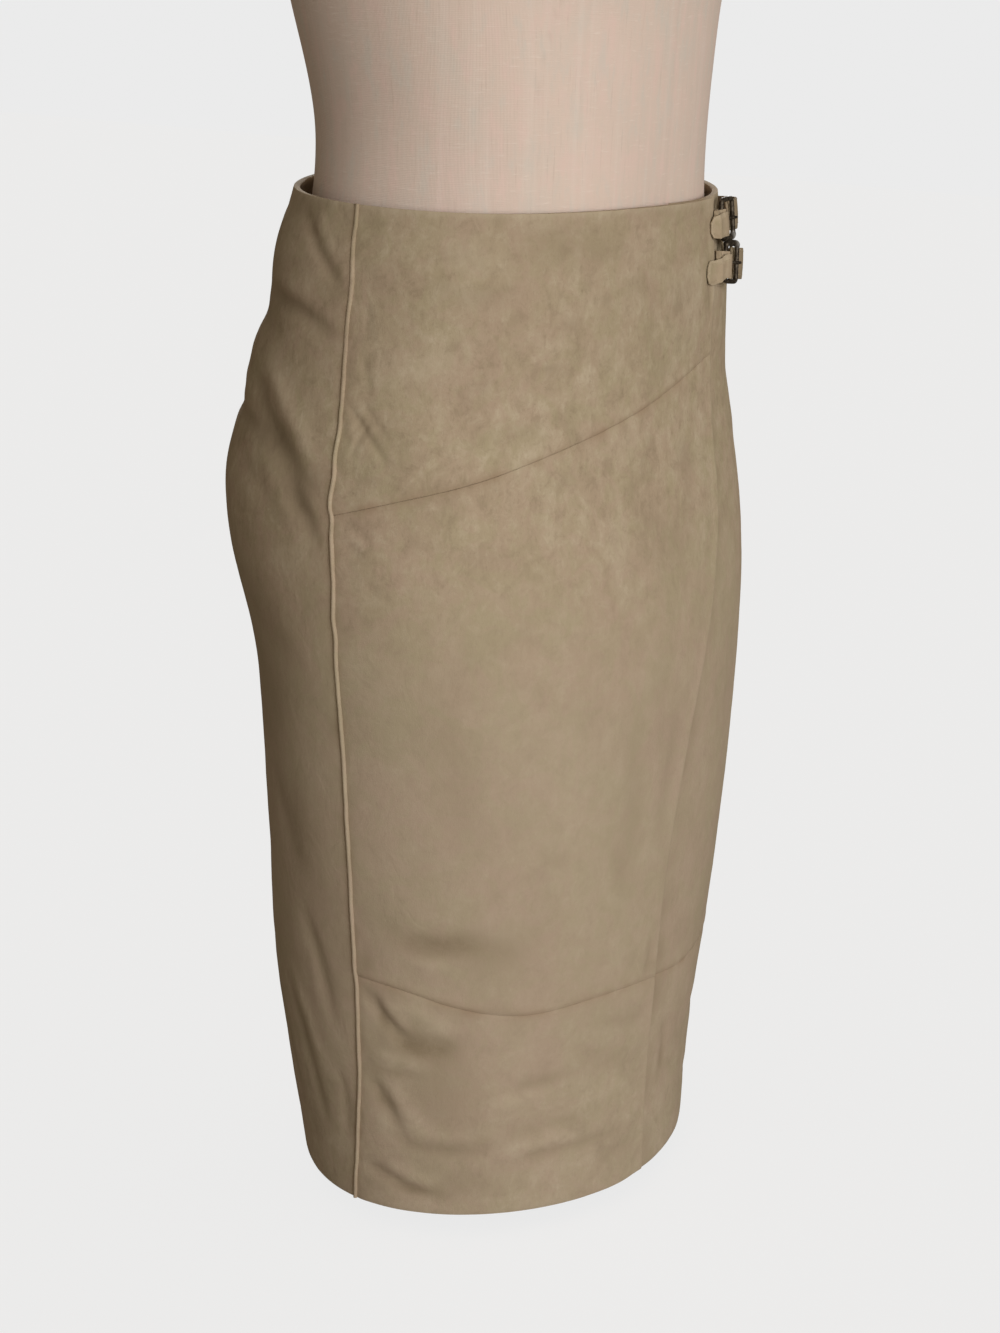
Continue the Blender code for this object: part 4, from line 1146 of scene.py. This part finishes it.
def buckleAxes(node):
    # Middle of a buckle's frame, and its directions: ahead, out of the cloth, and up.
    points = getPoints(nodes[node])
    middle = points.mean(axis=0)
    directions = np.linalg.eigh(np.cov((points - middle).T))[1]
    out, up = Vector(directions[:, 0]), Vector(directions[:, 2])
    radial = Vector((*middle[:2], 0)).normalized()
    out *= 1 if out.dot(radial) > 0 else -1
    up *= 1 if up.z > 0 else -1
    ahead = out.cross(up)
    return Vector(middle), ahead, out, up


def softened(node, name):
    piece = copyNode(node, name)
    modify(piece, "REMESH", mode="VOXEL", voxel_size=closures["voxel"])
    modify(piece, "SMOOTH", factor=0.5, iterations=closures["rounding"])
    return piece


def makeStitch(size):
    deselect()
    bpy.ops.mesh.primitive_uv_sphere_add(segments=8, ring_count=6, radius=0.5, location=(0, 0, 0))
    stitch = bpy.context.object
    stitch.scale = size
    bpy.ops.object.transform_apply(location=False, rotation=False, scale=True)
    return stitch


def layStitches(name, tree, axes, rows):
    # Rows run between two (ahead, up) places; each stitch lies on the cloth under it.
    middle, ahead, out, up = axes
    model = makeStitch(closures["stitchSize"])
    laid = []
    for (aheadA, upA), (aheadB, upB) in rows:
        length = hypot(aheadB - aheadA, upB - upA)
        count = max(1, round(length / closures["stitchPitch"]))
        for k in range(count):
            ends = []
            for t in ((k + 0.2) / count, (k + 0.8) / count):
                onRow = ahead * (aheadA + (aheadB - aheadA) * t) + up * (upA + (upB - upA) * t)
                ends.append(tree.ray_cast(middle + onRow + out * 0.02, -out, 0.05)[:2])
            (near, nearOut), (far, farOut) = ends
            if near is None or far is None or (near - far).length > closures["stitchJump"]:
                continue
            along = (far - near).normalized()
            normal = (nearOut + farOut).normalized()
            aside = normal.cross(along).normalized()
            turn = Matrix((along, aside, along.cross(aside))).transposed().to_4x4()
            place = Matrix.Translation((near + far) / 2 + normal * closures["stitchRise"])
            stitch = model.copy()
            stitch.data = model.data.copy()
            link(stitch)
            stitch.data.transform(place @ turn)
            laid.append(stitch)
    bpy.data.objects.remove(model)
    deselect()
    for stitch in laid:
        stitch.select_set(True)
    bpy.context.view_layer.objects.active = laid[0]
    bpy.ops.object.join()
    laid[0].name = name
    finishPiece(laid[0], thread, "faux_suede")
    return laid[0]


def easedBends(points, middle, ahead, out):
    # Rounds the bends of a strap behind its buckle.
    places = (points - middle) @ ahead
    depths = (points - middle) @ out
    steps = np.arange(places.min(), places.max(), closures["bendSteps"])
    near = 0.8 * closures["bendSteps"]
    line = np.interp(steps, *zip(*[(step, depths[np.abs(places - step) < near].mean()) for step in steps]))
    soft = np.convolve(np.pad(line, 4, mode="reflect", reflect_type="odd"), np.ones(9) / 9, mode="valid")
    moved = np.interp(places, steps, soft - line) * grown(closures, "bend", places)
    return points + moved[:, None] * out


def makeStrap(word, axes):
    middle, ahead, out, up = (np.array(axis) for axis in axes)
    low, sewnTop, freeTop = closures["strapLow"], closures["strapSewnTop"], closures["strapFreeTop"]
    sag = closures["sag"][word]
    strap = softened(f"strap_{word}", f"{word}Strap")
    points = easedBends(getPoints(strap), middle, ahead, out)
    places = (points - middle) @ ahead
    first, last = places.min(), places.max()
    across = ((points - middle) @ up - (low + sewnTop) / 2) / (sewnTop - low) * 2
    curl = closures["bow"] * (0.5 * across ** 2 + 0.7 * across ** 6)
    curl *= bell(places - closures["bowPlace"], closures["bowLength"])
    pressed = closures["tipPress"] * grown(closures, "pressed", places)
    inFrame = grown(closures, "intoFrame", places) * grown(closures, "outOfFrame", places)
    # Its edges are pressed thinner and painted paler, as wear and as painted light over the shadow at its
    # end.
    freeMiddle = (low + freeTop) / 2 - sag * grown(closures, "sag", places)
    halfFree = (freeTop - low) / 2 - 0.0004
    side = np.abs((points - middle) @ up - freeMiddle) / halfFree
    atEdge = np.clip(grown(closures, "edge", side) + grown(closures, "tip", last - places), 0, 1)
    atEdge *= grown(closures, "free", places)
    facing = np.clip(np.array([vertex.normal for vertex in strap.data.vertices]) @ out, 0, 1)
    inwards = curl + pressed + closures["edgeThinning"] * atEdge * facing
    upwards = closures["spread"] * across * inFrame
    setPoints(strap, points - inwards[:, None] * out + upwards[:, None] * up)
    paint(strap, "ridgeWearAndHighlight", atEdge * 0.8)
    # Painted shade darkens the strap where it bends out towards the buckle, facing away from the light.
    paint(strap, "napAndShade", closures["bendShade"] * grown(closures, "shadedBend", places))
    finishPiece(strap, suede, "faux_suede", f"strap_{word}")
    # Stitches: along both edges of the sewn part, round the free end, and twice across the sewn end.
    inset, gap = closures["stitchInset"], closures["tipRowGap"]
    start, end = first + inset, last - inset
    bottom, sewn, free = low + inset, sewnTop - inset, freeTop - inset
    second, nearTip = first + closures["secondRow"], last - closures["freeRowsStop"]
    lowStop, highStop = closures["sewnRowsStop"]
    lowStart, highStart = closures["freeRowsStart"]
    rows = [((start, sewn), (highStop, sewn)),
            ((start, bottom), (lowStop, bottom)),
            ((lowStart, bottom - sag / 3), (nearTip, bottom - sag)),
            ((highStart, free), (nearTip, free - sag)),
            ((start, bottom), (start, sewn)),
            ((second, bottom), (second, sewn)),
            ((end, bottom - sag + gap), (end, free - sag - gap))]
    return strap, layStitches(f"{word}StrapStitches", castTree([strap]), axes, rows)


def makeTab(word, axes):
    middle, ahead = (np.array(axis) for axis in axes[:2])
    tab = softened(f"buckle_tab_{word}", f"{word}Tab")
    finishPiece(tab, suede, "faux_suede", f"buckle_tab_{word}")
    last = ((getPoints(tab) - middle) @ ahead).max()
    bottom, top = closures["tabRows"]
    near, far = (last + end for end in closures["tabEnds"])
    rows = [((near, bottom), (near, top)), ((far, bottom), (far, top)),
            ((far, top), (near, top)), ((far, bottom), (near, bottom))]
    return tab, layStitches(f"{word}TabStitches", castTree([tab]), axes, rows)


def makeBuckle(word, axes):
    middle, ahead, out, up = (np.array(axis) for axis in axes)
    for part, growth in closures["wireGrowth"].items():
        node = f"buckle_{part}_{word}"
        piece = copyNode(node, f"{word}Buckle{part.capitalize()}")
        smoothed(piece, 2)
        points = getPoints(piece)
        normals = np.array([vertex.normal for vertex in piece.data.vertices])
        places = (points - middle) @ ahead
        # The bar at the strap's narrow edge is a little thicker, and a painted glint, as from polish, lies
        # on its corner.
        heights = (points - middle) @ up * (-1 if word == "upper" else 1)
        corner = closures["cornerGrowth"] * grown(closures, "corner", heights) if part == "frame" else 0
        points = points + normals * np.reshape(growth + corner, (-1, 1))
        lift = closures["barLift"] * grown(closures, "bar", places)
        points += lift[:, None] * out
        if part == "prong":
            past = np.minimum(places - closures["prongEnd"], 0)
            points -= (past * closures["prongTaken"])[:, None] * ahead
        setPoints(piece, points)
        paintedGlint = grown(closures, "glintAcross", heights) * grown(closures, "glintAlong", places)
        paint(piece, "polishGlint", paintedGlint * 0.8)
        finishPiece(piece, darkMetal, "antique_metal", node)


for word in closures["names"]:
    axes = buckleAxes(f"buckle_frame_{word}")
    strap, strapStitches = makeStrap(word, axes)
    tab, tabStitches = makeTab(word, axes)
    makeBuckle(word, axes)
    print(word, "closure", len(strap.data.polygons), len(tab.data.polygons), "faces")


# dress form and stand
# A turned piece is its foot level and its profile of (radius, height above the foot).
form = {
    # Seam lines on each side: angle at the bust, angle at the waist and below, depth.
    "seamTurns": [(0, 0, 0.5), (33, 52, 0.9), (90, 90, 0.12), (143, 138, 0.5), (180, 180, 0.6)],
    "bust": 0.780,
    "waist": 0.600,
    "seamRadius": 140,         # mm, about how far a seam is from the axis
    "seamWidth": 0.7,
    "seamDip": 0.00035,
    "dipWidth": 2.2,
    "weaveRadius": 0.15,
    "steps": 96,
    "neck": (1.0554, [
        (0, 0.0436), (0.003, 0.0435), (0.0075, 0.0421), (0.0108, 0.0381), (0.0116, 0.0326), (0.0100, 0.0276),
        (0.0074, 0.0231), (0.0072, 0.0211), (0.0085, 0.0188), (0.0120, 0.0174), (0.0300, 0.0138),
        (0.0420, 0.0102), (0.0465, 0.0078), (0.0480, 0.0054), (0.0480, 0.0036), (0.0480, 0.0008),
        (0.0476, 0), (0.0400, 0), (0, 0)]),
    "pole": (0.0183, [
        (0, 0.2913), (0.0280, 0.2913), (0.0300, 0.2909), (0.0300, 0.2857), (0.0290, 0.2851),
        (0.0175, 0.2825), (0.0160, 0.2807), (0.0160, 0.0017), (0.0160, 0.0001), (0.0150, 0), (0, 0)]),
    "base": (0.0, [
        (0, 0.0180), (0.0225, 0.0180), (0.0236, 0.0178), (0.0250, 0.0160), (0.0250, 0.0150),
        (0.0250, 0.0098), (0.0256, 0.0084), (0.0280, 0.0080), (0.0800, 0.0072), (0.0828, 0.0068),
        (0.0840, 0.0056), (0.0840, 0.0030), (0.0840, 0.0008), (0.0832, 0), (0.0800, 0), (0, 0)]),
    "plateMiddle": (0.1544, 0.012, 0.882),
    "plateHalf": (0.040, 0.047),
    "plateWall": 0.0040,
    "plateRim": 0.0014,
}


def seamDistance(turns, heights):
    # Millimetres to the nearest seam line, and how deep that seam is.
    share = smoothStep(form["waist"], form["bust"], heights / 1000)
    nearest = np.full(len(turns), 1e9)
    deep = np.zeros(len(turns))
    for bust, waist, depth in form["seamTurns"]:
        line = bust * share + waist * (1 - share)
        away = np.radians(np.abs((np.abs(turns) - line + 180) % 360 - 180)) * form["seamRadius"]
        deep = np.where(away < nearest, depth, deep)
        nearest = np.minimum(nearest, away)
    return nearest, deep


def layWeave(piece):
    # Texture coordinates in metres, round the body and up, without a tear at the back.
    layer = piece.data.uv_layers.new(name="weave")
    for face in piece.data.polygons:
        faceTurn = atan2(face.center.x, -face.center.y)
        for loop in face.loop_indices:
            p = piece.data.vertices[piece.data.loops[loop].vertex_index].co
            apart = (atan2(p.x, -p.y) - faceTurn + pi) % (2 * pi) - pi
            layer.data[loop].uv = ((faceTurn + apart) * form["weaveRadius"], p.z)


def makeBody():
    body = copyNode("form_torso", "dressFormBody")
    smoothed(body, 3)
    points = getPoints(body)
    away, depth = seamDistance(*polar(points))
    paint(body, "seamLine", depth * bell(away, form["seamWidth"]))
    setPoints(body, pushOut(points, -form["seamDip"] * depth * bell(away, form["dipWidth"])))
    layWeave(body)
    finishPiece(body, linen, "linen_cover", "form_torso")


def cutCorners(profile):
    softer = [profile[0]]
    for near, far in zip(profile, profile[1:]):
        softer += [tuple(a * (1 - t) + b * t for a, b in zip(near, far)) for t in (0.25, 0.75)]
    return softer + [profile[-1]]


def turnedPiece(node, name, foot, profile, look, slotName):
    # Drawn down ring by ring from a disc, its profile softened by cutting the corners twice.
    profile = cutCorners(cutCorners(profile))
    rings = [(radius, height + foot) for radius, height in profile if radius > 0]
    radius, height = rings[0]
    deselect()
    bpy.ops.mesh.primitive_circle_add(vertices=form["steps"], radius=radius, fill_type="TRIFAN",
                                      location=(0, 0, height))
    piece = bpy.context.object
    piece.name = name
    bpy.ops.object.transform_apply(location=True, rotation=False, scale=False)
    editOnly(piece, "VERT", piece.data.vertices, lambda vertex: vertex.co.xy.length > radius / 2)
    for nextRadius, nextHeight in rings[1:]:
        bpy.ops.mesh.extrude_region_move(TRANSFORM_OT_translate={"value": (0, 0, nextHeight - height)})
        size = nextRadius / radius
        bpy.ops.transform.resize(value=(size, size, 1), center_override=(0, 0, nextHeight))
        radius, height = nextRadius, nextHeight
    bpy.ops.mesh.extrude_region_move()
    bpy.ops.mesh.merge(type="CENTER")
    bpy.ops.mesh.select_all(action="SELECT")
    bpy.ops.mesh.normals_make_consistent(inside=False)
    bpy.ops.object.mode_set(mode="OBJECT")
    finishPiece(piece, look, slotName, node)


def makePlate(side, word):
    across, back, level = form["plateMiddle"]
    halfDeep, halfHigh = form["plateHalf"]
    deselect()
    bpy.ops.mesh.primitive_cylinder_add(vertices=80, radius=1, depth=form["plateWall"],
                                        location=(side * across, back, level), rotation=(0, radians(90), 0))
    plate = bpy.context.object
    plate.name = f"{word}ArmholePlate"
    plate.scale = (halfHigh, halfDeep, 1)
    bpy.ops.object.transform_apply(location=True, rotation=True, scale=True)
    roundRim(plate, form["plateRim"], 3)
    finishPiece(plate, wood, "turned_wood", f"form_armhole_plate_{word}")


makeBody()
turnedPiece("form_neck_cap", "neckCap", *form["neck"], wood, "turned_wood")
turnedPiece("form_pole", "standPole", *form["pole"], standSteel, "stand_steel")
turnedPiece("form_base", "standBase", *form["base"], standSteel, "stand_steel")
for side, word in ((-1, "right"), (1, "left")):
    makePlate(side, word)
print("dress form ready")
